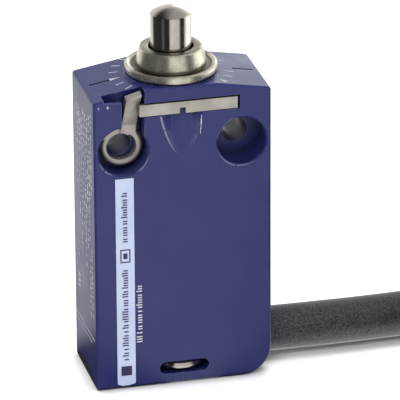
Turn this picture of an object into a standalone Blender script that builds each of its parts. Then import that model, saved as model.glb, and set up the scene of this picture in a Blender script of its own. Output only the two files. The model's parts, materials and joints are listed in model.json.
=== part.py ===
"""Miniature metal-body limit switch with a plunger head, a lock clip and a plug-in lead.

Units are metres, +Z is up. The front face looks along -Y and the mounting face is +Y.
The body stands on z = 0 and is centred on x = 0, y = 0. Run it in Blender 4.5.
"""

import math

import bmesh
import bpy
from mathutils import Matrix, Vector

MM = 0.001

# ---------------------------------------------------------------- driving sizes, mm
BODY_W = 30.0  # across the front
BODY_D = 16.0  # front face to mounting face
SHOULDER_H = 51.5  # base to the shoulder, where the roof starts
ROOF_SLOPE = 9.6  # degrees, each side of the head
SEAT_TOP = SHOULDER_H + 1.6  # the round seat that the head stands on
SEAT_R = 7.92
LIFT = SHOULDER_H - 50.0  # the head, the clip and the notch move up with the shoulder
CORNER_R = 5.0  # rounded lower corner on the lead's side
EDGE_R = 0.5

HOLE_PITCH = 20.0  # between the two mounting holes
HOLE_Z = SHOULDER_H - 8.95
HOLE_D = 4.2
CBORE_D = 8.3
CBORE_FLOOR = (3.9, 3.0)  # depth position of each counterbore floor, left and right

# fits: the bore is the driving size, the piece in it is the bore less the clearance
HEAD_BORE_R = 5.9
HEAD_FIT = 0.3
SPIGOT_R = HEAD_BORE_R - HEAD_FIT
GUIDE_R = 3.65  # the head's bore that guides the plunger
PLUNGER_FIT = 0.25
ROD_R = GUIDE_R - PLUNGER_FIT
PLUG_BORE_R = 3.7
PLUG_FIT = 0.3
PLUG_R = PLUG_BORE_R - PLUG_FIT
SMALL = 0.3  # everyday clearance between two pieces

CHAMBER_R = 4.15  # the head's wider bore below the guide
CABLE_D = 7.6
CABLE_Z = 4.5

FRONT = -BODY_D / 2
BACK = BODY_D / 2
SINK = FRONT + 8.0  # the clip, its pocket and the notch move with the front face
HALF_W = BODY_W / 2


# ---------------------------------------------------------------- small helpers
def clear_scene():
    for obj in list(bpy.data.objects):
        bpy.data.objects.remove(obj, do_unlink=True)


def finish_material(name, colour, rough, metal):
    mat = bpy.data.materials.new(name)
    mat.use_nodes = True
    shader = mat.node_tree.nodes["Principled BSDF"]
    shader.inputs["Base Color"].default_value = (*colour, 1.0)
    shader.inputs["Roughness"].default_value = rough
    shader.inputs["Metallic"].default_value = metal
    mat.diffuse_color = (*colour, 1.0)
    return mat


def v3(p):
    return Vector((p[0] * MM, p[1] * MM, p[2] * MM))


def add_prism(bm, outline, low, high, axis="Y"):
    """Extrude a closed outline along an axis. The outline is (x, z), (y, z) or (x, y)."""

    def place(p, t):
        if axis == "Y":
            return v3((p[0], t, p[1]))
        if axis == "X":
            return v3((t, p[0], p[1]))
        return v3((p[0], p[1], t))

    a = [bm.verts.new(place(p, low)) for p in outline]
    b = [bm.verts.new(place(p, high)) for p in outline]
    n = len(outline)
    bm.faces.new(a)
    bm.faces.new(b[::-1])
    for i in range(n):
        bm.faces.new((a[i], b[i], b[(i + 1) % n], a[(i + 1) % n]))


def add_box(bm, x, y, z):
    outline = [(x[0], y[0]), (x[1], y[0]), (x[1], y[1]), (x[0], y[1])]
    add_prism(bm, outline, z[0], z[1], "Z")


def turn_matrix(axis, at):
    """Local +Z of a turned body points along the axis."""
    if axis == "Z":
        rot = Matrix.Identity(4)
    elif axis == "Y":
        rot = Matrix.Rotation(math.radians(-90), 4, "X")
    else:
        rot = Matrix.Rotation(math.radians(90), 4, "Y")
    return Matrix.Translation(v3(at)) @ rot


def add_turned(bm, profile, at=(0, 0, 0), axis="Z", segments=48):
    """Turn a closed (radius, height) outline. A radius of 0 makes a pole."""
    rings = []
    for r, h in profile:
        if r <= 1e-9:
            rings.append([bm.verts.new(Vector((0, 0, h * MM)))])
        else:
            ring = []
            for i in range(segments):
                t = 2 * math.pi * i / segments
                p = Vector((r * MM * math.cos(t), r * MM * math.sin(t), h * MM))
                ring.append(bm.verts.new(p))
            rings.append(ring)
    n = len(rings)
    for k in range(n):
        a, b = rings[k], rings[(k + 1) % n]
        if len(a) == 1 and len(b) == 1:
            continue
        for i in range(segments):
            j = (i + 1) % segments
            if len(a) == 1:
                bm.faces.new((a[0], b[j], b[i]))
            elif len(b) == 1:
                bm.faces.new((a[i], a[j], b[0]))
            else:
                bm.faces.new((a[i], a[j], b[j], b[i]))
    verts = [v for ring in rings for v in ring]
    bmesh.ops.transform(bm, matrix=turn_matrix(axis, at), verts=verts)


def add_rod(bm, r, low, high, at=(0, 0, 0), axis="Z", segments=32):
    add_turned(bm, [(0, low), (r, low), (r, high), (0, high)], at, axis, segments)


def add_ring(bm, major, minor, at, axis="Z", segments=40, around=10):
    profile = []
    for i in range(around):
        t = 2 * math.pi * i / around
        profile.append((major + minor * math.cos(t), minor * math.sin(t)))
    add_turned(bm, profile, at, axis, segments)


def add_spring(bm, radius, wire, low, high, turns, at=(0, 0), around=7, per_turn=18):
    """A compression spring with its first and last half turn lying nearly flat."""
    count = int(turns * per_turn)
    centre = []
    low, high = low + wire, high - wire
    flat = 0.75
    for i in range(count + 1):
        t = turns * i / count
        if t < flat:
            z = low + 0.35 * wire * t
        elif t > turns - flat:
            z = high - 0.35 * wire * (turns - t)
        else:
            z0, z1 = low + 0.35 * wire * flat, high - 0.35 * wire * flat
            z = z0 + (z1 - z0) * (t - flat) / (turns - 2 * flat)
        a = 2 * math.pi * t
        centre.append(v3((at[0] + radius * math.cos(a), at[1] + radius * math.sin(a), z)))
    add_tube(bm, centre, wire, around)


def add_tube(bm, centre, r, around=8):
    """A round bar along points that are already in metres, r in mm."""
    rings = []
    n = len(centre)
    up = Vector((0, 0, 1))
    for i, p in enumerate(centre):
        d = (centre[min(i + 1, n - 1)] - centre[max(i - 1, 0)]).normalized()
        side = d.cross(up)
        if side.length < 0.2:
            side = d.cross(Vector((0, 1, 0)))
        side.normalize()
        top = side.cross(d).normalized()
        ring = []
        for k in range(around):
            t = 2 * math.pi * k / around
            ring.append(bm.verts.new(p + (side * math.cos(t) + top * math.sin(t)) * r * MM))
        rings.append(ring)
    for a, b in zip(rings, rings[1:]):
        for k in range(around):
            m = (k + 1) % around
            bm.faces.new((a[k], a[m], b[m], b[k]))
    bm.faces.new(rings[0][::-1])
    bm.faces.new(rings[-1])


def arc(cx, cz, r, start, end, steps):
    out = []
    for i in range(steps + 1):
        t = math.radians(start + (end - start) * i / steps)
        out.append((cx + r * math.cos(t), cz + r * math.sin(t)))
    return out


def new_object(name, fill, mat, origin=(0, 0, 0), smooth=True):
    """Make one named object. fill adds its faces to an empty bmesh, in body coordinates."""
    bm = bmesh.new()
    fill(bm)
    bmesh.ops.recalc_face_normals(bm, faces=bm.faces)
    bmesh.ops.translate(bm, vec=-v3(origin), verts=bm.verts)
    mesh = bpy.data.meshes.new(name)
    bm.to_mesh(mesh)
    bm.free()
    if mat is not None:
        mesh.materials.append(mat)
    obj = bpy.data.objects.new(name, mesh)
    obj.location = v3(origin)
    bpy.context.collection.objects.link(obj)
    if smooth:
        for poly in mesh.polygons:
            poly.use_smooth = True
        mesh.set_sharp_from_angle(angle=math.radians(35))
    return obj


def cut(obj, name, fill, operation="DIFFERENCE"):
    """Take a named cutter away from an object (or join it on)."""
    tool = new_object(f"cutter_{name}", fill, None, smooth=False)
    tool.hide_render = True
    tool.display_type = "WIRE"
    mod = obj.modifiers.new(name, "BOOLEAN")
    mod.operation = operation
    mod.solver = "EXACT"
    mod.object = tool
    return tool


def bevel(obj, width, segments=2, angle=30):
    mod = obj.modifiers.new("edge", "BEVEL")
    mod.width = width * MM
    mod.segments = segments
    mod.limit_method = "ANGLE"
    mod.angle_limit = math.radians(angle)
    mod.use_clamp_overlap = True
    return mod


def hang(child, parent):
    """Parent a piece and keep its place."""
    at, step = Vector((0, 0, 0)), parent
    while step is not None:
        at, step = at + step.location, step.parent
    child.parent = parent
    child.location = child.location - at


def empty(name, at):
    obj = bpy.data.objects.new(name, None)
    obj.empty_display_size = 0.004
    obj.location = v3(at)
    bpy.context.collection.objects.link(obj)
    return obj


# ---------------------------------------------------------------- materials
def make_materials():
    return {
        "cast": finish_material("cast_blue", (0.055, 0.063, 0.22), 0.42, 0.0),
        "nickel": finish_material("nickelled_head", (0.46, 0.44, 0.36), 0.38, 1.0),
        "steel": finish_material("polished_steel", (0.72, 0.71, 0.69), 0.18, 1.0),
        "spring": finish_material("spring_steel", (0.50, 0.49, 0.46), 0.3, 1.0),
        "clip": finish_material("clip_steel", (0.60, 0.57, 0.52), 0.36, 0.9),
        "rubber": finish_material("seal_rubber", (0.02, 0.02, 0.02), 0.8, 0.0),
        "resin": finish_material("moulded_resin", (0.55, 0.53, 0.48), 0.5, 0.0),
        "carrier": finish_material("carrier_resin", (0.75, 0.72, 0.62), 0.45, 0.0),
        "brass": finish_material("brass", (0.72, 0.52, 0.22), 0.3, 1.0),
        "silver": finish_material("silver_contact", (0.85, 0.84, 0.82), 0.22, 1.0),
        "plug": finish_material("plug_resin", (0.03, 0.03, 0.035), 0.5, 0.0),
        "sheath": finish_material("cable_sheath", (0.018, 0.018, 0.02), 0.6, 0.0),
        "label": finish_material("label_film", (0.62, 0.62, 0.78), 0.45, 0.0),
        "wire_bn": finish_material("wire_brown", (0.12, 0.045, 0.02), 0.45, 0.0),
        "wire_bu": finish_material("wire_blue", (0.02, 0.08, 0.35), 0.45, 0.0),
        "wire_bk": finish_material("wire_black", (0.015, 0.015, 0.015), 0.45, 0.0),
        "wire_wh": finish_material("wire_white", (0.75, 0.75, 0.72), 0.45, 0.0),
        "wire_gn": finish_material("wire_green", (0.08, 0.30, 0.06), 0.45, 0.0),
    }


# ---------------------------------------------------------------- housing
CAVITY_Y = (-6.4, 5.4)
CAVITY = [(-12.2, 13.6), (12.2, 13.6), (12.2, 32.2), (9, 32.2), (9, 35.4)]
CAVITY += [(-9, 35.4), (-9, 32.2), (-12.2, 32.2)]
COVER_X, COVER_Z = 13.2, (9.2, 36.6)
RECESS_FLOOR = 5.4
COVER_Y = (6.25, 7.8)
SCREWS = [(-11.2, 11.4), (11.2, 11.4), (11.2, 34.4), (-11.2, 34.4)]
POCKET_TOP = 9.2
POCKET_X = -5.5
POCKET_Y = 4.6
SLOT_Z = 2.9
STAPLE_X = 3.3
WIRE_R = 0.75


def roof_at(x):
    return SHOULDER_H + (HALF_W - abs(x)) * math.tan(math.radians(ROOF_SLOPE))


def make_housing(mats):
    ridge = HALF_W - (SEAT_TOP - 0.05 - SHOULDER_H) / math.tan(math.radians(ROOF_SLOPE))
    outline = [(-HALF_W, 0)]
    outline += arc(HALF_W - CORNER_R, CORNER_R, CORNER_R, -90, 0, 8)
    outline += [(HALF_W, SHOULDER_H), (ridge, SEAT_TOP - 0.05)]
    outline += [(-ridge, SEAT_TOP - 0.05), (-HALF_W, SHOULDER_H)]
    body = new_object("housing", lambda bm: add_prism(bm, outline, FRONT, BACK), mats["cast"])
    bevel(body, EDGE_R, 3, 45)

    def seat(bm):
        rim = 0.25
        profile = [(0, 47), (SEAT_R, 47), (SEAT_R, SEAT_TOP - rim)]
        profile += [(SEAT_R - rim, SEAT_TOP), (0, SEAT_TOP)]
        add_turned(bm, profile, segments=64)

    cut(body, "seat", seat, "UNION")
    cut(body, "head_bore", lambda bm: add_rod(bm, HEAD_BORE_R, 44.6 + LIFT, SEAT_TOP + 5, segments=56))
    cut(body, "neck_bore", lambda bm: add_rod(bm, 3.2, 34.5, 46 + LIFT, segments=32))
    cut(body, "cavity", lambda bm: add_prism(bm, CAVITY, CAVITY_Y[0], 10))

    def recess(bm):
        add_box(
            bm,
            (-COVER_X - SMALL, COVER_X + SMALL),
            (RECESS_FLOOR, BACK + 1),
            (COVER_Z[0] - SMALL, COVER_Z[1] + SMALL),
        )

    cut(body, "cover_recess", recess)

    def elbow_pocket(bm):
        outline = [(POCKET_X, -1), (HALF_W + 1, -1), (HALF_W + 1, POCKET_TOP)]
        outline += [(POCKET_X, POCKET_TOP)]
        add_prism(bm, outline, -POCKET_Y, POCKET_Y)

    cut(body, "elbow_pocket", elbow_pocket)
    cut(body, "plug_bore", lambda bm: add_rod(bm, PLUG_BORE_R, 8.5, 14.5, segments=40))

    def side_arch(bm):
        outline = [(-6.6, -1), (6.6, -1), (6.6, 0.35), (5.2, 1.35), (3.6, 1.95)]
        outline += [(1.6, 2.3), (-0.6, 2.2), (-3.0, 1.7), (-5.2, 0.95), (-6.6, 0.3)]
        add_prism(bm, outline, -HALF_W - 1, -HALF_W + 1.5, "X")

    cut(body, "side_arch", side_arch)

    def mounting_holes(bm):
        for side, floor in zip((-1, 1), CBORE_FLOOR):
            x = side * HOLE_PITCH / 2
            r, big = HOLE_D / 2, CBORE_D / 2
            profile = [(0, FRONT - 1), (big + 0.3, FRONT - 1), (big + 0.3, FRONT)]
            profile += [(big, FRONT + 0.3), (big, -floor), (r, -floor), (r, BACK + 1)]
            profile += [(0, BACK + 1)]
            add_turned(bm, profile, (x, 0, HOLE_Z), "Y", 40)

    cut(body, "mounting_holes", mounting_holes)

    def clip_pocket(bm):
        add_box(bm, (-9.0, 9.65), (FRONT - 1, FRONT + 1.05), (46.85 + LIFT, 49.3 + LIFT))

    cut(body, "clip_pocket", clip_pocket)

    def prong_slots(bm):
        for side in (-1, 1):
            x = sorted((side * 4.5, side * 6.0))
            add_box(bm, x, (FRONT + 0.6, 4.1), (46.95 + LIFT, 49.05 + LIFT))

    cut(body, "prong_slots", prong_slots)

    def finger_channel(bm):
        low, mid, high = HOLE_Z - 0.55, 44.3 + LIFT, 49.9 + LIFT
        deep, shallow = SINK - 4.1, SINK - 6.2
        outline = [(FRONT - 1, low), (deep, low), (deep, mid), (shallow, high)]
        outline += [(shallow, SEAT_TOP + 5), (FRONT - 1, SEAT_TOP + 5)]
        add_prism(bm, outline, -10.25, -6.45, "X")

    cut(body, "finger_channel", finger_channel)

    def roof_notch(bm):
        low = 49.75 + LIFT
        outline = [(-9, low), (-7.25, low), (-7.05, low - 1.5), (-4.9, low - 1.5)]
        outline += [(-6.15, low + 3.25), (-6.15, low + 7), (-9, low + 7)]
        outline = [(SINK + y, z) for y, z in outline]
        add_prism(bm, outline, -13.2, -6.36, "X")

    cut(body, "roof_notch", roof_notch)

    def scoop(bm):
        # a round tool that leaves the face on a slant, so the hollow ends in an arch
        rings = []
        for y, z in ((FRONT + 1.35, 47.1 + LIFT), (FRONT - 0.53, 36.5 + LIFT)):
            ring = []
            for i in range(96):
                t = 2 * math.pi * i / 96
                ring.append(bm.verts.new(v3((5.5 * math.sin(t), y - 5.5 + 5.5 * math.cos(t), z))))
            rings.append(ring)
        for i in range(96):
            j = (i + 1) % 96
            bm.faces.new((rings[0][i], rings[0][j], rings[1][j], rings[1][i]))
        bm.faces.new(rings[0][::-1])
        bm.faces.new(rings[1])

    cut(body, "scoop", scoop)

    def staple_slot(bm):
        half, r = 4.25, 1.1
        outline = arc(half - r, SLOT_Z, r, -90, 90, 8)
        outline += arc(-half + r, SLOT_Z, r, 90, 270, 8)
        add_prism(bm, outline, FRONT - 1, -POCKET_Y + 0.4)

    cut(body, "staple_slot", staple_slot)

    def staple_holes(bm):
        for side in (-1, 1):
            add_rod(bm, WIRE_R + 0.25, 4.2, 6.2, (side * STAPLE_X, 0, SLOT_Z), "Y", 16)

    cut(body, "staple_holes", staple_holes)

    def screw_holes(bm):
        for x, z in SCREWS:
            add_rod(bm, 1.1, 1.3, 7.0, (x, 0, z), "Y", 20)

    cut(body, "screw_holes", screw_holes)

    def roof_lines(bm):
        for side in (-1, 1):
            x0, x1 = 10.4 * side, 13.9 * side
            top = SEAT_TOP + 5
            outline = [(x0, roof_at(x0) - 0.35), (x1, roof_at(x1) - 0.35), (x1, top), (x0, top)]
            if side < 0:
                outline = outline[::-1]
            add_prism(bm, outline, -0.24, 0.24)

    cut(body, "roof_lines", roof_lines)
    return body


# ---------------------------------------------------------------- cover, gasket, screws
def make_cover(mats, body):
    half = COVER_X

    def plate(bm):
        add_box(bm, (-half, half), COVER_Y, COVER_Z)

    cover = new_object("back_cover", plate, mats["cast"])
    bevel(cover, 0.3, 2)

    def holes(bm):
        for x, z in SCREWS:
            profile = [(0, 5), (1.25, 5), (1.25, 6.85), (2.25, 6.85), (2.25, 9), (0, 9)]
            add_turned(bm, profile, (x, 0, z), "Y", 24)

    cut(cover, "cover_holes", holes)
    hang(cover, body)

    seal = new_object(
        "cover_gasket",
        lambda bm: add_box(bm, (-half + 0.2, half - 0.2), (5.5, 6.15), (9.5, 36.3)),
        mats["rubber"],
    )

    def window(bm):
        edge = [(-12.3, 13.5), (12.3, 13.5), (12.3, 32.3), (9.1, 32.3), (9.1, 35.5)]
        edge += [(-9.1, 35.5), (-9.1, 32.3), (-12.3, 32.3)]
        add_prism(bm, edge, 4, 8)

    cut(seal, "gasket_window", window)

    def gasket_holes(bm):
        for x, z in SCREWS:
            add_rod(bm, 1.2, 4, 8, (x, 0, z), "Y", 20)

    cut(seal, "gasket_holes", gasket_holes)
    hang(seal, body)

    for i, (x, z) in enumerate(SCREWS, 1):

        def screw(bm, x=x, z=z):
            profile = [(0, 2.0), (0.95, 2.0), (0.95, 6.9), (2.0, 6.9), (2.0, 7.55)]
            profile += [(1.8, 7.75), (0, 7.75)]
            add_turned(bm, profile, (x, 0, z), "Y", 24)

        one = new_object(f"cover_screw_{i}", screw, mats["steel"], (x, 5, z))

        def cross(bm, x=x, z=z):
            add_box(bm, (x - 1.2, x + 1.2), (7.2, 9), (z - 0.2, z + 0.2))
            add_box(bm, (x - 0.2, x + 0.2), (7.2, 9), (z - 1.2, z + 1.2))

        tool = cut(one, f"cross_{i}", cross)
        one.modifiers[-1].use_self = True
        tool.parent = None
        hang(one, body)


# ---------------------------------------------------------------- head and plunger
GROOVE_Z = (46.8, 49.2)  # in the head's own heights, which LIFT moves up
FLANGE_R = 7.7


def make_head(mats, body):
    def shell(bm):
        fl = SEAT_TOP + 0.05 - LIFT  # underside of the flange
        r, mouth = FLANGE_R, fl + 4.35
        profile = [(CHAMBER_R, 44.95), (SPIGOT_R - 0.2, 44.95), (SPIGOT_R, 45.15)]
        profile += [(SPIGOT_R, GROOVE_Z[0]), (4.7, GROOVE_Z[0]), (4.7, GROOVE_Z[1])]
        profile += [(SPIGOT_R, GROOVE_Z[1]), (SPIGOT_R, 49.85), (4.75, 49.85), (4.75, 51.25)]
        profile += [(SPIGOT_R, 51.25), (SPIGOT_R, fl), (r - 0.4, fl), (r, fl + 0.4)]
        profile += [(r, fl + 1.1), (r - 0.35, fl + 1.45), (7.05, fl + 1.38), (6.85, fl + 1.2)]
        profile += [(5.85, fl + 1.2), (5.8, fl + 1.75), (5.38, mouth - 0.5), (5.0, mouth)]
        profile += [(GUIDE_R + 0.25, mouth), (GUIDE_R, mouth - 0.25), (GUIDE_R, 55.1)]
        profile += [(4.3, 55.1), (4.3, 54.3), (GUIDE_R, 54.3), (GUIDE_R, 53.6)]
        profile += [(CHAMBER_R, 53.6)]
        add_turned(bm, profile, (0, 0, LIFT), segments=52)

    head = new_object("head", shell, mats["nickel"], (0, 0, SEAT_TOP + 0.05))
    hang(head, body)

    seal = new_object(
        "head_seal",
        lambda bm: add_ring(bm, 5.27, 0.42, (0, 0, 50.55 + LIFT), segments=32, around=8),
        mats["rubber"],
        (0, 0, 50.55 + LIFT),
    )
    hang(seal, head)

    wiper = new_object(
        "plunger_seal",
        lambda bm: add_ring(bm, 3.89, 0.34, (0, 0, 54.7 + LIFT), segments=28, around=8),
        mats["rubber"],
        (0, 0, 54.7 + LIFT),
    )
    hang(wiper, head)

    def plate(bm):
        wide = CHAMBER_R - SMALL
        profile = [(1.85, 45.35), (wide, 45.35), (wide, 46.15), (1.85, 46.15)]
        add_turned(bm, profile, (0, 0, LIFT), segments=32)

    seat = new_object("spring_plate", plate, mats["spring"], (0, 0, 45.35 + LIFT))
    hang(seat, head)

    def rod(bm):
        top, collar = 62.8, CHAMBER_R - SMALL
        profile = [(0, 44.8), (1.35, 44.8), (1.5, 44.95), (1.5, 52.15), (collar, 52.15)]
        profile += [(collar, 53.1), (ROD_R, 53.3), (ROD_R, top - 1.3), (ROD_R - 0.22, top - 1.05)]
        profile += [(2.6, top - 0.56), (1.8, top - 0.24), (0.9, top - 0.05), (0, top)]
        add_turned(bm, profile, (0, 0, LIFT), segments=48)

    plunger = new_object("plunger", rod, mats["steel"], (0, 0, SEAT_TOP + 0.05))
    hang(plunger, head)

    spring = new_object(
        "plunger_spring",
        lambda bm: add_spring(bm, 2.6, 0.25, 46.2 + LIFT, 52.1 + LIFT, 5, around=6, per_turn=16),
        mats["spring"],
        (0, 0, 46.2 + LIFT),
    )
    hang(spring, head)
    return head


# ---------------------------------------------------------------- lock clip
RING_X = 0.33 - HOLE_PITCH / 2


def make_clip(mats, body):
    z0, z1 = 47.0 + LIFT, 49.0 + LIFT

    def bar(bm):
        outline = [(-7.25, z0), (-0.5, z0), (-0.5, z0 + 0.95), (0.5, z0 + 0.95), (0.5, z0)]
        outline += [(9.25, z0), (9.25, z1), (-7.25, z1)]
        add_prism(bm, outline, FRONT, FRONT + 0.8)

    clip = new_object("lock_clip", bar, mats["clip"], (0, FRONT, z0 + 1))

    def prongs(bm):
        for side in (-1, 1):
            x = sorted((side * 4.85, side * 5.65))
            add_box(bm, x, (FRONT + 0.5, 3.5), (z0 + 0.3, z1 - 0.3))

    cut(clip, "clip_prongs", prongs, "UNION")

    def finger(bm):
        t = 0.75
        side = [(-7.94, 50.52), (-7.6, 50.4), (-5.32, 44.7), (-5.32, 43.0)]
        side += [(-5.32 + t, 43.0), (-5.32 + t, 44.8), (-7.6 + t, 50.5), (-6.5, 50.72)]
        side += [(-6.5, 51.06), (-7.94, 50.86)]
        ends = []
        for low_x, high_x, drop in ((-10.0, -9.4, 0.75), (-7.35, -6.85, 0.0)):
            ring = []
            for y, z in side:
                x = low_x + (high_x - low_x) * min(max((z - 43.0) / 7.0, 0.0), 1.0)
                fall = drop * min(max((z - 49.0) / 1.5, 0.0), 1.0)
                ring.append(bm.verts.new(v3((x, SINK + y, z - fall + LIFT))))
            ends.append(ring)
        for i in range(len(side)):
            j = (i + 1) % len(side)
            bm.faces.new((ends[0][i], ends[0][j], ends[1][j], ends[1][i]))
        bm.faces.new(ends[0][::-1])
        bm.faces.new(ends[1])
        bmesh.ops.triangulate(bm, faces=bm.faces)

    cut(clip, "clip_finger", finger, "UNION")

    def web(bm):
        add_box(bm, (-7.24, -6.9), (FRONT + 0.7, FRONT + 2.1), (z0 + 0.03, z1 - 0.03))

    cut(clip, "clip_web", web, "UNION")

    def eyelet(bm):
        # the outer rim stands a little off the hole's centre, towards the bar
        out, hole = 3.7, 2.3
        profile = [(hole, -5.2), (hole + 0.15, -5.35), (2.95, -5.35), (3.3, -5.25)]
        profile += [(3.55, -5.02), (3.67, -4.7), (out, -4.35), (out, -4.0), (hole, -4.0)]
        add_turned(bm, profile, (RING_X, SINK, HOLE_Z), "Y", 40)

    cut(clip, "clip_eyelet", eyelet, "UNION")

    def ear(bm):
        x, z = -HOLE_PITCH / 2, HOLE_Z
        outline = [(x - 2.9, z + 1.4), (x - 0.5, z + 2.6), (x + 0.6, z + 3.3), (x - 0.9, z + 3.75)]
        outline += [(x - 2.2, z + 3.2), (x - 3.1, z + 2.1)]
        add_prism(bm, outline, SINK - 5.3, SINK - 4.4)

    cut(clip, "clip_ear", ear, "UNION")

    def eyelet_hole(bm):
        add_rod(bm, 2.32, -10, 0, (-HOLE_PITCH / 2, 0, HOLE_Z), "Y", 40)

    cut(clip, "clip_hole", eyelet_hole)
    hang(clip, body)
    return clip


# ---------------------------------------------------------------- contact block
BLOCK_Y = (-6.1, 3.4)
BLOCK_Z = (14.0, 31.8)
CHAMBER_X, CHAMBER_Z = 10.6, (15.2, 30.6)
CHAMBER_Y = -4.9
NC_Y, NO_Y = -2.6, 1.2  # the front pair of contacts and the rear pair
NC_Z, NO_Z = 27.6, 20.4  # undersides of the fixed contacts
PIN_X = 1.25
PINS = {"nc": -2.15, "no": 1.6}
BRIDGE_REL = 2.0  # how far a bridge moves in its window
NC_BAR = (26.4, 27.0)
NO_BAR = (24.6, 25.2)
RETURN_LOW, COLLAR = 32.1, (42.6 + LIFT, 44.3 + LIFT)


def make_block(mats, body):
    def tray(bm):
        add_box(bm, (-11.8, 11.8), BLOCK_Y, BLOCK_Z)

    block = new_object("contact_block", tray, mats["resin"])
    bevel(block, 0.3, 2)

    def chamber(bm):
        add_box(bm, (-CHAMBER_X, CHAMBER_X), (CHAMBER_Y, 5), CHAMBER_Z)

    cut(block, "chamber", chamber)
    cut(block, "rod_hole", lambda bm: add_rod(bm, 1.95, 29.5, 33, segments=28))

    def pin_holes(bm):
        for y in PINS.values():
            for side in (-1, 1):
                add_rod(bm, 0.65, 13, 16, (side * PIN_X, y, 0), segments=14)

    cut(block, "pin_holes", pin_holes)
    hang(block, body)

    lid = new_object(
        "block_cover",
        lambda bm: add_box(bm, (-11.6, 11.6), (3.7, 4.9), (14.2, 31.6)),
        mats["resin"],
    )
    bevel(lid, 0.25, 1)
    hang(lid, body)
    return block


def make_contacts(mats, block):
    """Four fixed contacts. Each is one strip with its foot and its pin down into the plug."""
    for tag, y, z in (("nc", NC_Y, NC_Z), ("no", NO_Y, NO_Z)):
        for side, hand in ((-1, "left"), (1, "right")):

            def strip(bm, side=side, y=y, z=z):
                points = [(3.6, z), (9.1, z), (9.1, 15.85), (0.75, 15.85), (0.75, 15.35)]
                points += [(9.8, 15.35), (9.8, z + 0.6), (3.6, z + 0.6)]
                outline = [(side * x, h) for x, h in points]
                add_prism(bm, outline, y - 0.8, y + 0.8)

            one = new_object(f"fixed_contact_{tag}_{hand}", strip, mats["brass"], (0, y, z))

            def button(bm, side=side, y=y, z=z, tag=tag):
                low, high = (z - 0.35, z + 0.3) if tag == "nc" else (z + 0.3, z + 0.95)
                add_rod(bm, 0.7, low, high, (side * 5.0, y, 0), segments=16)

            cut(one, f"button_{tag}_{hand}", button, "UNION")

            def pin(bm, side=side, tag=tag):
                add_rod(bm, 0.35, 11.2, 15.6, (side * PIN_X, PINS[tag], 0), segments=12)

            cut(one, f"pin_{tag}_{hand}", pin, "UNION")
            hang(one, block)


def make_carrier(mats, block):
    """The push rod with its column, the two bridges and their springs."""

    def column(bm):
        add_box(bm, (-2.4, 2.4), (-4.2, 2.8), (21.4, 30.2))

    carrier = new_object("carrier", column, mats["carrier"], (0, 0, COLLAR[1]))
    bevel(carrier, 0.2, 1)

    def stem(bm):
        profile = [(0, 29.8), (1.6, 29.8), (1.6, COLLAR[0]), (2.6, COLLAR[0])]
        profile += [(2.6, COLLAR[1] - 0.4), (2.2, COLLAR[1]), (0, COLLAR[1])]
        add_turned(bm, profile, segments=28)

    cut(carrier, "stem", stem, "UNION")

    def windows(bm):
        for y, low in ((NC_Y, 22.6), (NO_Y, 24.3)):
            add_box(bm, (-3, 3), (y - 1.1, y + 1.1), (low, 29.4))

    cut(carrier, "windows", windows)
    hang(carrier, block)

    spring = new_object(
        "carrier_spring",
        lambda bm: add_spring(bm, 2.25, 0.25, RETURN_LOW, COLLAR[0] - 0.15, 6, around=6, per_turn=14),
        mats["spring"],
        (0, 0, RETURN_LOW),
    )
    hang(spring, block)

    for tag, y, bar, up in (("nc", NC_Y, NC_BAR, 1), ("no", NO_Y, NO_BAR, -1)):

        def bridge(bm, y=y, bar=bar):
            add_box(bm, (-6.2, 6.2), (y - 0.8, y + 0.8), bar)

        one = new_object(f"bridge_{tag}", bridge, mats["brass"], (0, y, bar[0]))

        def rivets(bm, y=y, bar=bar, up=up):
            for x in (-5.0, 5.0):
                if up > 0:
                    low, high = bar[1] - 0.3, bar[1] + 0.15
                else:
                    low, high = bar[0] - 0.15, bar[0] + 0.3
                add_rod(bm, 0.65, low, high, (x, y, 0), segments=16)

        cut(one, f"rivets_{tag}", rivets, "UNION")
        hang(one, carrier)

        low, high = (22.7, bar[0] - 0.1) if tag == "nc" else (bar[1] + 0.1, 29.3)

        def coil(bm, y=y, low=low, high=high):
            add_spring(bm, 0.7, 0.15, low, high, 4, (0, y), around=5, per_turn=10)

        one = new_object(f"bridge_spring_{tag}", coil, mats["spring"], (0, y, low))
        hang(one, carrier)
    return carrier


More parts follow.
